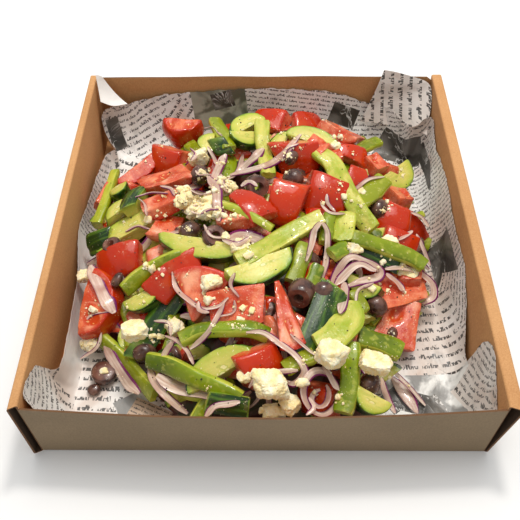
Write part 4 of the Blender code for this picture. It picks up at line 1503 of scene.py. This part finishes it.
def capsicum_skin():
    made = Surface("capsicum_skin", Roughness=0.30, IOR=1.36, Coat_Weight=0.5, Coat_Roughness=0.07)
    place = made.place()
    soft = made.noise(place, 42.0, 3.0)
    fine = made.noise(place, 300.0, 2.0)
    colour = made.mix(made.band(soft, 0.30, 0.70), (56, 90, 0), (128, 150, 8))
    colour = made.tint(colour, made.attribute("chance"), (152, 158, 14), 0.7)
    # Pale fine specks: painted highlights on the wet skin.
    pale = made.times(made.band(fine, 0.52, 0.70), 0.35)
    colour = made.mix(pale, colour, (206, 204, 88))
    made.bump(made.noise(place, 600.0, 3.0), 0.0003, 0.5)
    return made.finish_wet(place, colour, 0.6)


def capsicum_cut(name, dark, light, rough):
    made = Surface(name, Roughness=0.36, IOR=1.36, Coat_Weight=0.4, Coat_Roughness=0.08,
                   Subsurface_Weight=0.1, Subsurface_Scale=0.002)
    place = made.place()
    soft = made.noise(made.stretch(place, (0.4, 1.0, 1.0)), 220.0, 3.0)
    colour = made.mix(made.band(soft, 0.3, 0.7), dark, light)
    made.bump(made.noise(place, 420.0, 3.0), rough, 0.6)
    return made.finish_wet(place, colour, 0.6)


def onion_material():
    """Watery see-through flesh with fine veins and a thin purple skin along its edges."""
    made = Surface("onion_flesh", Roughness=0.2, IOR=1.36, Coat_Weight=0.35, Coat_Roughness=0.07)
    place = made.place()
    skin, _, _ = made.layers()
    veins = made.noise(made.stretch(place, (0.1, 1.0, 1.0)), 700.0, 2.0)
    body = made.mix(made.band(veins, 0.3, 0.7), (226, 186, 166), (252, 232, 214))
    body = made.mix(made.band(made.noise(place, 52.0), 0.50, 0.70), body, (204, 160, 144))
    edge = made.band(skin, 0.30, 0.62)
    colour = made.mix(edge, body, (116, 28, 90))
    cover = made.plus(0.54, made.times(edge, 0.42))
    cover = made.plus(cover, made.times(made.band(veins, 0.45, 0.7), 0.12))
    made.put(made.shader.inputs["Alpha"], cover)
    made.bump(veins, 0.0002, 0.5)
    return made.finish(made.dressed_and_glinting(place, colour, 0.35))


def olive_material(name, dark, light, rough):
    made = Surface(name, Roughness=rough, IOR=1.4, Coat_Weight=0.5, Coat_Roughness=0.07)
    place = made.place()
    soft = made.noise(place, 190.0, 4.0)
    colour = made.mix(made.band(soft, 0.3, 0.7), dark, light)
    made.bump(soft, 0.0004, 0.5)
    return made.finish_wet(place, colour, 0.5)


def feta_material():
    made = Surface("feta_cheese", Roughness=0.6, IOR=1.35, Subsurface_Weight=0.3,
                   Subsurface_Scale=0.0012)
    made.shader.inputs["Subsurface Radius"].default_value = (1.0, 0.8, 0.5)
    place = made.place()
    soft = made.noise(place, 230.0, 4.0)
    colour = made.mix(made.band(soft, 0.35, 0.7), (255, 230, 170), (255, 245, 214))
    colour = made.mix(made.band(made.noise(place, 110.0), 0.58, 0.8), colour, (248, 208, 140))
    # Small darker spots in the pits: painted shade.
    pit_shade = made.band(made.cells(place, 750.0), 0.28, 0.12)
    colour = made.tint(colour, pit_shade, (218, 178, 110), 0.35)
    made.bump(made.plus(soft, made.noise(place, 1100.0, 3.0)), 0.0006, 0.8)
    return made.finish(colour)


def grain_material():
    made = Surface("pepper_grain", Roughness=0.7)
    place = made.place()
    return made.finish(made.mix(made.noise(place, 800.0), (30, 24, 20), (70, 56, 44)))


def core_material():
    """What shows deep between the pieces: mixed salad colours, darkened as painted shade."""
    made = Surface("deep_salad_painted_shade", Roughness=0.45)
    place = made.attribute("local", True)
    patches = made.cells(place, 110.0, output="Color")
    parts = made.node("ShaderNodeSeparateColor", {0: patches})
    colour = made.mix(made.band(parts.outputs[0], 0.3, 0.5), (74, 76, 28), (104, 34, 20))
    colour = made.mix(made.band(parts.outputs[1], 0.62, 0.7), colour, (120, 92, 70))
    # Darker patches over it: more painted shade for the gaps.
    colour = made.mix(made.noise(place, 300.0, 3.0), colour, (40, 28, 16))
    made.bump(made.noise(place, 260.0, 3.0), 0.001, 0.7)
    return made.finish(colour)


# --- Laying the salad ----------------------------------------------------------------
FLESH_UP = (180, 0)
SEED = 5


def fill_heap(salad, rng, count=300):
    """Loose filling over the core, of which little shows between the top pieces."""
    for k in range(count):
        angle = rng.uniform(0, math.tau)
        _, out = heap_form(0.1 * math.cos(angle), 0.1 * math.sin(angle))
        reach = 0.1 / float(out) * math.sqrt(rng.uniform(0, 0.84))
        x, y = reach * math.cos(angle) / MM, reach * math.sin(angle) / MM
        turn, tip = rng.uniform(0, 360), (rng.uniform(-40, 40), rng.uniform(-40, 40))
        sort = k % 10
        if sort < 3:
            size = (rng.uniform(14, 24), rng.uniform(12, 16), rng.uniform(8, 11))
            salad.tomato(x, y, turn, size, (tip[0] + rng.choice((0, 180)), tip[1]))
        elif sort < 5:
            salad.cucumber(x, y, turn, (rng.uniform(18, 34), rng.uniform(9, 12), 7), tip)
        elif sort < 7:
            salad.short(salad.pepper, x, y, math.radians(turn), rng.uniform(10, 17),
                        rng.uniform(-4, 4), roll=rng.uniform(-60, 60))
        elif sort < 8:
            salad.olive(x, y, turn, tip=(rng.uniform(0, 80), 0))
        else:
            salad.short(salad.onion, x, y, math.radians(turn), rng.uniform(9, 17),
                        rng.uniform(3, 8), roll=rng.uniform(-60, 60))


def lay_back(salad):
    salad.tomato(2, 77, -25, (23, 17, 12), (30, 0))
    salad.tomato(26, 77, 30, (27, 14, 11), (25, 10))
    salad.tomato(44, 65, -38, (30, 14, 11), (165, 0))
    salad.cucumber(-12, 73, 34, (28, 11, 7))
    salad.cucumber(-11, 60, 195, (22, 9, 8), (-15, 0))
    salad.pepper((-31, 78), (-26, 66), (-21, 53), width=9, roll=15)
    salad.cucumber(-34, 58, 80, (14, 9, 8), (20, 0))
    salad.baton(-26, 55, 5, (10, 9, 9), (20, 0))
    salad.wedge(-50, 66, -94, 13.5, 168, 17, (0, 10), 1.25, lean=8, proud=6)
    salad.tomato(-57, 44, -18, (20, 18, 11), (55, 0), lean=10)
    salad.onion((-37, 70), (-31, 71), (-26, 63), width=4, roll=30)
    salad.cucumber(31, 60, -30, (36, 10, 7), (12, 0))
    salad.tomato(50, 48, 2, (22, 10, 9), (30, 0))
    salad.tomato(40, 42, 20, (9, 9, 8), FLESH_UP)
    salad.pepper((55, 52), (61, 56), (67, 59), width=9, roll=10)
    salad.tomato(62, 40, -50, (13, 11, 9), FLESH_UP)
    salad.tomato(69, 36, 30, (13, 11, 9), (150, 0))
    salad.tomato(51, 27, 0, (13, 13, 10), (30, 0))
    salad.tomato(32, 53, -40, (13, 10, 9), (160, 0))
    salad.pepper((-2, 76), (-2, 60), (0, 44), (2, 31), width=9, roll=190)
    salad.tomato(19, 45, 4, (24, 20, 15), (70, 0), lean=6)
    salad.olive_half(-37, 31, 40, 6.2, 10, (70, 0))
    salad.feta(-38, 45, (10, 8, 8), 20)
    salad.onion((-1, 53), (-8, 43), (-16, 34), width=6, roll=20)
    salad.onion((21, 64), (13, 51), (4, 41), (-6, 36), (-20, 32), width=5, roll=25)


def lay_left(salad):
    salad.tomato(-89, 14, 80, (16, 10, 9), (150, 0))
    salad.tomato(-55, 9, 8, (24, 12, 9), FLESH_UP)
    salad.tomato(-73, 36, 35, (34, 13, 10), (150, 0))
    salad.tomato(-55, 25, 18, (28, 17, 11), FLESH_UP)
    salad.cucumber(-81, 17, 200, (13, 9, 8), (10, 0))
    salad.baton(-72, 12, 82, (18, 10, 9), (0, 12))
    salad.cucumber(-80, 3, 30, (19, 9, 7), (10, 0))
    salad.pepper((-86, 35), (-87.5, 15), (-90, -6), width=4.5, thick=6, roll=80, stiff=12)
    salad.baton(-86, -17, 10, (12, 10, 10), (40, 0))
    salad.olive_half(-40, -11, 20, 6.4, 10, (80, 0))
    salad.cucumber(-68, -6, 16.5, (56, 14, 8), (-6, 0))
    salad.cucumber(-36, -22, 161, (50, 11, 8), (4, 0))
    salad.onion((-70, 13), (-66, 8), (-64, 0), width=3, roll=50)
    salad.tomato(-74, -32, 6, (25, 18, 13), (32, 0))
    salad.olive(-79, -22, 0, 5.6, 8, (25, -15))
    salad.onion((-55, -28), (-60, -37), (-67, -43), (-73, -44), width=5, roll=35)
    salad.tomato(-45, -34, 20, (26, 8, 8), (20, 0))
    salad.tomato(-50, -46, 40, (15, 15, 11), (20, 0))
    salad.pepper((-70, -50), (-63, -41), (-54, -33), (-43, -28), width=8, roll=-62)
    salad.cucumber(-59, -56, 205, (21, 8, 8), (10, 0))
    salad.wedge(-78, -59, -14, 20, 158, 14, (8, 0), 1.0, lean=18, proud=3)
    salad.onion((-89, -34), (-84, -44), (-78, -55), (-73, -63), width=9, thick=1.5, roll=8)


def lay_centre(salad):
    salad.tomato(-14, -1, -10, (24, 13, 9), FLESH_UP)
    salad.tomato(-9, 7, -40, (23, 12, 10), (20, 0))
    salad.olive(-5, 22, 30, 6.6, 9, (74, 0))
    salad.olive_half(16, 28, 10, 6.2, 11, (85, 0))
    salad.tomato(11, 10, -12, (20, 25, 13), (42, 0), lean=10)
    salad.tomato(34, 15, -8, (26, 22, 14), (38, 0), lean=10)
    salad.pepper((30, 50), (38, 41), (43, 26), (48, 11), (52, 0), (57, -10), width=10.5, roll=160,
                 twist=-40)
    salad.pepper((-24, 9), (-15, 5), (-6, -1), (4, -9), width=6, roll=50)
    salad.olive(-27, -15, 0, 6.4, 7, (40, 20))
    salad.feta(-22, 23, (10, 8, 7), 10)
    salad.feta(-38, 5, (10, 8, 8), 50)
    salad.feta(-45, 11, (9, 7, 6), 20)
    salad.feta(-30, 12, (8, 7, 6), 70)
    salad.feta(-32, 3, (8, 8, 7), 15)
    salad.onion((-34, 54), (-29, 43), (-26, 36), width=4, roll=30)
    salad.onion((-23, 49), (-27, 35), (-30, 20), width=6, roll=20)
    salad.onion((-32, 30), (-27, 19), (-26, 7), (-25, -4), width=7, roll=10)
    salad.onion((-51, 22), (-43, 20), (-36, 16), (-26, 18), width=4, roll=35)
    salad.pepper((35, 1), (33, -9), (31, -19), width=7, roll=10)
    salad.pepper((21, -20), (18, -32), (14, -44), width=9, roll=15)
    salad.cucumber(-2, -37, 209, (40, 13, 8), (-8, 0))
    salad.onion((-19, -17), (-13, -10), (-6, -9), (1, -15), width=8, roll=-20)
    salad.feta(-13, -22, (9, 6, 6), 5)
    salad.pepper((-14, -32), (-2, -24), (10, -15), (21, -7), (31, -1), width=10, thick=6, roll=165)
    salad.onion((21, -31), (24, -21), (26, -11), (30, -5), (33, -12), (32, -27), (29, -42),
                width=5, roll=30)
    salad.pepper((44, 2), (42, -8), (42, -18), width=12, roll=170, taper=0.6)
    salad.pepper((27, -34), (23, -46), width=7, roll=20)
    salad.pepper((34, -27), (39, -24), (43, -22), width=9, roll=0)


def lay_right(salad):
    salad.olive_half(62, 5, 60, 6.2, 10, (60, 0))
    salad.tomato(70, -19, -10, (20, 15, 11), (40, 0))
    salad.tomato(68, -5, -12, (21, 22, 13), (40, 0), lean=10)
    salad.tomato(74, 12, 20, (13, 13, 10), (160, 0))
    salad.pepper((51, 10), (59, 18), (67, 27), width=12, roll=-12)
    salad.onion((50, 19), (58, 27), (67, 29), width=4, roll=20)
    salad.cucumber(74, 28, 226, (31, 14, 10), (-8, 0))
    salad.baton(59, -28, -24, (22, 8, 7), (10, 0))
    salad.pepper((46, -15), (56, -19), (66, -24), (75, -29), (81, -35), width=8.5, roll=-12)
    salad.feta(64, -20, (9, 7, 7), 30)
    salad.feta(46, -23, (7, 5, 4), 5)
    salad.tomato(65, -50, 8, (34, 19, 12), FLESH_UP)
    salad.tomato(72, -42, 0, (14, 12, 10), (150, 0))
    salad.tomato(63, -70, 65, (26, 20, 12), (170, 0))
    salad.feta(71, -38, (12, 5, 5), -10)
    salad.cucumber(50, -49, 165, (19, 9, 8), (0, 0))
    salad.olive_half(54, -59, -30, 6.2, 10, (50, 0))
    salad.pepper((42, -51), (46, -57), (48, -64), width=7, taper=0.3)
    salad.onion((33, -51), (35, -41), (40, -33), (47, -29), (55, -31), (59, -36), (56, -42),
                (48, -44), (41, -47), width=6.5, roll=14)
    salad.onion((35, -46), (41, -39), (49, -35), (56, -38), width=7, roll=14)
    salad.onion((61, -36), (69, -35), (77, -38), (83, -45), (83, -53), (77, -58), width=6, roll=10)
    salad.onion((61, -39), (66, -44), (69, -50), width=5, roll=10)
    salad.onion((79, 2), (84, -1), (87, -8), width=5, roll=20)
    salad.onion((70, -17), (78, -11), width=4, roll=20)
    salad.onion((80, -13), (82, -23), (84, -34), width=4, roll=20)


def lay_front_left(salad):
    salad.olive_half(-56, -85, 10, 6.4, 10, (80, 0))
    salad.pepper((-78, -77), (-69, -85), (-59, -96), (-49, -107), width=9, roll=-58)
    salad.onion((-75, -81), (-69, -90), (-62, -100), (-56, -106), width=7, roll=-20)
    salad.baton(-52, -70, 55, (38, 11, 9), (0, 0))
    salad.onion((-49, -97), (-37, -103), (-25, -105), (-14, -108), width=11, roll=15)
    salad.onion((-53, -93), (-49, -101), (-43, -108), (-34, -115), width=6, roll=20)
    salad.cucumber(-19, -91, 16, (40, 12, 9), (20, 0))
    salad.pepper((-54, -89), (-44, -92), (-32, -98), (-21, -103), (-11, -109), width=9, roll=-52)
    salad.baton(-16, -115, -10, (20, 9, 8), (20, 0))
    salad.onion((-26, -117), (-22, -112), (-16, -111), (-11, -110), width=5, roll=20)


def lay_front(salad):
    salad.wedge(-31, -51, 80, 31, 64, 17, (-4, 0))
    salad.tomato(-13, -60, 10, (29, 19, 12), FLESH_UP)
    salad.pepper((-40, -78), (-31, -73), (-20, -72), (-8, -73), (2, -76), width=8.5, thick=5.5,
                 roll=20)
    salad.tomato(-2, -90, 30, (22, 14, 10), (20, 0))
    salad.onion((-47, -76), (-41, -79), (-36, -84), (-33, -91), width=3.5, roll=30)
    salad.onion((-43, -79), (-46, -85), (-47, -90), width=4, roll=30)
    salad.onion((-47, -38), (-44, -48), (-38, -55), (-31, -60), (-23, -59), (-18, -54), width=4.5,
                roll=30)
    salad.onion((-20, -57), (-24, -68), (-29, -77), (-35, -83), width=3.5, roll=40)
    salad.feta(-27, -44, (9, 7, 6), 15)
    salad.feta(-43, -71, (8, 7, 7), 40)
    salad.olive(18, -51, 0, 6.8, 10, (52, -18))
    salad.olive_half(29, -50, 60, 5.6, 10, (40, 0))
    salad.baton(27, -66, 70, (34, 14, 9), (0, 0))
    salad.tomato(10, -65, -74, (38, 9, 8), FLESH_UP)
    salad.onion((40, -45), (39, -54), (36, -63), width=6, roll=20)
    salad.pepper((39, -57), (40, -66), (34, -75), (26, -83), width=15, thick=5, roll=180, taper=0.4)
    salad.pepper((44, -76), (51, -79), (58, -82), (63, -85), width=12, thick=6, roll=10)
    salad.pepper((9, -93), (16, -89), (23, -86), width=8, roll=10)
    salad.onion((12, -75), (18, -81), (24, -87), width=3.5, roll=40)
    salad.onion((-9, -74), (-1, -74), (7, -80), (14, -86), (18, -93), (17, -98), (13, -101),
                (9, -99), width=5, roll=20)
    salad.onion((15, -94), (6, -95), (-2, -97), (-7, -103), width=3.5, roll=40)
    salad.feta(-9, -97, (6, 5, 5), 10)
    for across, along, turns, width, roll in (
            (7.5, 10.5, np.linspace(0.4, 6.2, 12), 4.5, 25),
            (3.5, 5.5, np.linspace(1.4, 7.0, 10), 4, 30)):
        ring = [(25 + across * math.cos(a), -105 + along * math.sin(a)) for a in turns]
        salad.onion(*ring, width=width, roll=roll)
    salad.onion((27, -91), (30, -98), (33, -104), width=5, roll=20)
    salad.pepper((40, -80), (39, -91), (38, -102), (34, -115), width=9.5, thick=5, roll=-14)
    salad.olive_half(47, -101, 70, 6.2, 10, (60, 0))
    salad.cucumber(46, -110, 160, (18, 10, 8), (0, 0))
    salad.feta(4, -116, (11, 5, 6), 5)
    salad.onion((53, -97), (54, -105), (57, -115), width=4, roll=10)
    salad.onion((58, -93), (65, -102), (71, -111), width=3, roll=10)
    salad.feta(-91, -41, (6, 6, 6), 5)
    salad.feta(-82, -80, (7, 7, 7), 35)


def lay_bits(salad, rng, count=34):
    """Slivers of onion and small bits of olive and feta, thickest where crumbs lie."""
    for k in range(count):
        x, y, spread, _ = CRUMB_SPOTS[k % len(CRUMB_SPOTS)]
        x, y = rng.gauss(x, spread * 0.8), rng.gauss(y, spread * 0.8)
        angle = rng.uniform(0, math.tau)
        if k % 4 == 3:
            salad.feta(x, y, (rng.uniform(4, 6), rng.uniform(3, 5), 4), math.degrees(angle))
        elif k % 9 == 4:
            salad.olive_half(x, y, math.degrees(angle), 4.5, 6, (rng.uniform(30, 120), 0))
        else:
            salad.short(salad.onion, x, y, angle, rng.uniform(4, 9), rng.uniform(1.5, 4),
                        width=rng.uniform(1.8, 3.4), thick=1.3, roll=rng.uniform(-30, 30))


def place_named(kind, shape, node, turn, rng):
    """A piece put where its CAD solid is, filling the same box."""
    low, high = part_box(node)
    spun = shape["points"] @ turn_matrix((0, 0, 1), turn).T
    size = spun.max(0) - spun.min(0)
    spun = (spun - (spun.max(0) + spun.min(0)) / 2) * (np.array(high - low) / size)
    kind.add(shape, spun + np.array((low + high) / 2), rng)


def onion_leaf(length=0.026, width=0.0085, thick=0.0022):
    """A pointed slice of onion lying flat, its long edges one pale and one purple."""
    route = [(-length / 2, 0, 0), (0, 0.0012, 0), (length / 2, 0, 0)]
    path = smooth_path(route, 0.0010)
    share = np.linspace(0, 1, len(path))
    leaf = 0.15 + 0.85 * np.sin(math.pi * share) ** 0.8
    return sweep(path, ONION_STRIP, width * leaf, thick * (0.5 + 0.5 * leaf), np.zeros(len(path)))


def make_named(surfaces, rng):
    """The loose pieces that are bodies of their own in the CAD model."""
    def put(name, slot, surface, node, turn, shape):
        kind = Kind(name, slot, surfaces[surface], replaces=[node])
        place_named(kind, shape, node, turn, rng)
        kind.build()

    for node, turn in (("feta_front", 8), ("feta_front_small", 30), ("feta_middle", 40),
                       ("feta_right", -14), ("feta_left", 12)):
        low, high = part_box(node)
        chunk = feta_block(rng, tuple(high - low), 0.00055, 0.0006, 14)
        put(node + "_chunk", "feta", "feta", node, turn, chunk)
    ring = olive_slice(rng, hole=0.0018, thick=0.005)
    put("olive_ring", "olive", "olive", "olive_ring_loose", 0, ring)
    put("olive_tip", "olive", "olive", "olive_end_loose", 0, olive_end(rng))
    put("onion_leaf", "red_onion", "onion", "onion_slice_loose", -62, onion_leaf())


# Where crumbs lie thickest: middle as it is seen, spread, and how many fell apart there.
CRUMB_SPOTS = [
    (-36, 38, 9, 6), (-25, 20, 10, 9), (-36, 4, 8, 9), (-22, -4, 8, 5), (20, 50, 9, 5),
    (-55, 20, 10, 3), (34, 14, 10, 2), (-44, 13, 7, 8), (-12, -24, 9, 3), (-30, -48, 12, 4),
    (-13, -62, 10, 4), (68, -34, 10, 3), (62, -52, 11, 3), (66, -72, 9, 2), (-50, -72, 9, 3),
    (4, -96, 11, 3), (30, -84, 9, 2), (-80, -60, 10, 2), (-78, -80, 7, 2), (45, 62, 8, 2),
    (26, -106, 8, 2), (-68, -6, 14, 2), (-62, -38, 9, 2), (58, 8, 8, 2),
]
LOOSE_CRUMBS, LOOSE_CRUMB_SIZE = 45, 0.0018
PEPPER_GRAINS = 260


def anywhere(rng):
    """A place over the heap as it is seen, in millimetres."""
    return rng.uniform(-88, 84), rng.uniform(-112, 84)


def scatter(kinds, rng):
    """Crumbs of feta and grains of pepper, each resting on what is seen at its place."""
    faces, points, start = [], [], 0
    for kind in kinds.values():
        for part in kind.parts:
            points.append(part["placed"])
            faces += (part["quads"] + start).tolist() + (part["tris"] + start).tolist()
            start += len(part["placed"])
    tree = BVHTree.FromPolygons(np.vstack(points).tolist(), faces)
    for x, y, spread, count in CRUMB_SPOTS:
        for _ in range(count):
            crumble(tree, kinds, rng, rng.gauss(x, spread * 0.5), rng.gauss(y, spread * 0.5))
    for _ in range(LOOSE_CRUMBS):
        crumble(tree, kinds, rng, *anywhere(rng), LOOSE_CRUMB_SIZE)
    for _ in range(PEPPER_GRAINS):
        size = rng.uniform(0.0003, 0.0007)
        grain = feta_block(rng, (size, size * 0.8, size * 0.7), 0.0001, size / 2, 4)
        put_on(tree, kinds["pepper_grains"], grain, *anywhere(rng), size * 0.2, rng)
    low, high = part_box("olive_ring_loose")
    stuck = feta_block(rng, (0.0042, 0.0038, 0.0040), 0.0003, 0.0005, 7)
    middle = np.array(low + high) / 2 + (high.z - low.z) * np.array((0, 0, 0.2))
    kinds["feta_crumbs"].add(stuck, stuck["points"] + middle, rng)


def crumble(tree, kinds, rng, x, y, most=0.0042):
    """A broken crumb of feta and the finer ones that fell off round it."""
    biggest = rng.uniform(0.0012, most)
    for k in range(rng.randint(4, 8)):
        size = biggest if k == 0 else max(0.0005, biggest * rng.uniform(0.1, 0.5))
        away = 0.0 if k == 0 else rng.uniform(0.5, 1.6) * biggest / MM
        angle = rng.uniform(0, math.tau)
        sides = (size, size * rng.uniform(0.6, 0.95), size * rng.uniform(0.5, 0.8))
        crumb = feta_block(rng, sides, size * 0.09, size / 4.5, 7)
        at = (x + away * math.cos(angle), y + away * math.sin(angle))
        put_on(tree, kinds["feta_crumbs"], crumb, *at, size * 0.15, rng)


def put_on(tree, kind, shape, x, y, rise, rng):
    """Put a grain where the line of sight through (x, y) at SEEN_Z meets the salad."""
    towards = Vector((x * MM, y * MM, SEEN_Z)) - CAMERA_PLACE
    place, normal, _, _ = tree.ray_cast(CAMERA_PLACE, towards.normalized())
    if place is None or normal.z < 0.25:
        return
    turned = shape["points"] @ turn_matrix((0, 0, 1), rng.uniform(0, 360)).T
    turned = turned @ lean_to(np.array(normal), 60).T
    kind.add(shape, turned + np.array(place + normal * rise), rng)


def make_salad():
    rng = random.Random(SEED)
    feta, onion = [feta_material()], [onion_material()]
    olive = [olive_material("olive_skin", (52, 30, 28), (112, 78, 66), 0.26),
             olive_material("olive_cut", (82, 45, 37), (128, 85, 69), 0.35)]
    kinds = {
        "tomatoes": Kind("tomatoes", "tomato", [tomato_material()], sharp=50),
        "cucumbers": Kind("cucumbers", "cucumber", [cucumber_material()], sharp=50),
        "capsicums": Kind("capsicums", "green_pepper", [
            capsicum_skin(), capsicum_cut("capsicum_edge", (146, 166, 30), (196, 196, 72), 0.0002),
            capsicum_cut("capsicum_inside", (160, 174, 44), (208, 202, 98), 0.0010),
        ], sharp=50),
        "onions": Kind("onions", "red_onion", onion, sharp=60),
        "olives": Kind("olives", "olive", olive),
        "feta_pieces": Kind("feta_pieces", "feta", feta, sharp=60),
        "feta_crumbs": Kind("feta_crumbs", "feta", feta, sharp=60),
        "pepper_grains": Kind("pepper_grains", "pepper_grains", [grain_material()]),
    }
    pile = Pile(TRAY_LOW, TRAY_HIGH)
    cells = np.indices(pile.shape).reshape(2, -1)
    x, y = (cells[k] * CELL + pile.low[k] for k in (0, 1))
    pile.height = core_height(x, y).reshape(pile.shape)

    fill_heap(Salad(pile, kinds, rng, seen=False, proud=-7, coarse=1.8), rng)
    shown = Salad(pile, kinds, rng, seen=True, proud=5)
    for lay in (lay_back, lay_left, lay_centre, lay_right, lay_front_left, lay_front):
        lay(shown)
    lay_bits(shown, rng)
    scatter(kinds, rng)
    for kind in kinds.values():
        kind.build()
    make_core(core_material())
    make_named({"feta": feta, "onion": onion, "olive": olive}, rng)


# --- Stage, lights, camera --------------------------------------------------------------
def make_stage():
    half = 3.0
    mesh = bpy.data.meshes.new("floor")
    mesh.from_pydata([(-half, -half, 0), (half, -half, 0), (half, half, 0), (-half, half, 0)], [],
                     [(0, 1, 2, 3)])
    floor = new_object("floor", mesh)
    floor.location.z = -0.0004  # clear of the tray's underside
    made = Surface("pale_floor", Roughness=0.9, Base_Color=(0.90, 0.90, 0.90, 1.0))
    mesh.materials.append(made.made)


# Lamps that point at the middle of the tray: name, place, size, watts and colour.
LAMPS = [
    ("overhead", (0.03, 0.17, 0.95), 0.80, 5.0, (1.0, 0.965, 0.915)),
    ("key", (0.10, 0.24, 0.90), 0.12, 3.2, (1.0, 0.955, 0.895)),
]
WORLD_COLOUR, WORLD_STRENGTH = (0.97, 0.99, 1.0, 1.0), 0.54


def make_lights():
    for name, place, size, watts, colour in LAMPS:
        lamp = bpy.data.lights.new(name, "AREA")
        lamp.shape, lamp.size, lamp.energy, lamp.color = "DISK", size, watts, colour
        light = new_object(name, lamp)
        light.location = place
        light.rotation_euler = (-Vector(place)).to_track_quat("-Z", "Y").to_euler()
    world = bpy.data.worlds.new("soft_white")
    world.use_nodes = True
    background = world.node_tree.nodes["Background"]
    background.inputs["Color"].default_value = WORLD_COLOUR
    background.inputs["Strength"].default_value = WORLD_STRENGTH
    bpy.context.scene.world = world
    bpy.context.scene.view_settings.view_transform = "Standard"


def make_camera():
    lens = bpy.data.cameras.new("camera")
    lens.lens, lens.sensor_width = CAMERA_LENS, 36.0
    camera = new_object("camera", lens)
    pitch, yaw, roll = CAMERA_PITCH, CAMERA_YAW, CAMERA_ROLL
    forward = Vector((
        math.sin(yaw) * math.cos(pitch), math.cos(yaw) * math.cos(pitch), -math.sin(pitch),
    ))
    right = forward.cross(Vector((0, 0, 1))).normalized()
    up = right.cross(forward)
    turned_right = right * math.cos(roll) + up * math.sin(roll)
    turned_up = up * math.cos(roll) - right * math.sin(roll)
    turned = Matrix((turned_right, turned_up, -forward)).transposed().to_4x4()
    turned.translation = CAMERA_PLACE
    camera.matrix_world = turned
    bpy.context.scene.camera = camera


make_stage()
make_lights()
make_camera()
make_tray()
make_liner(paper_material(), random.Random(3))
make_salad()
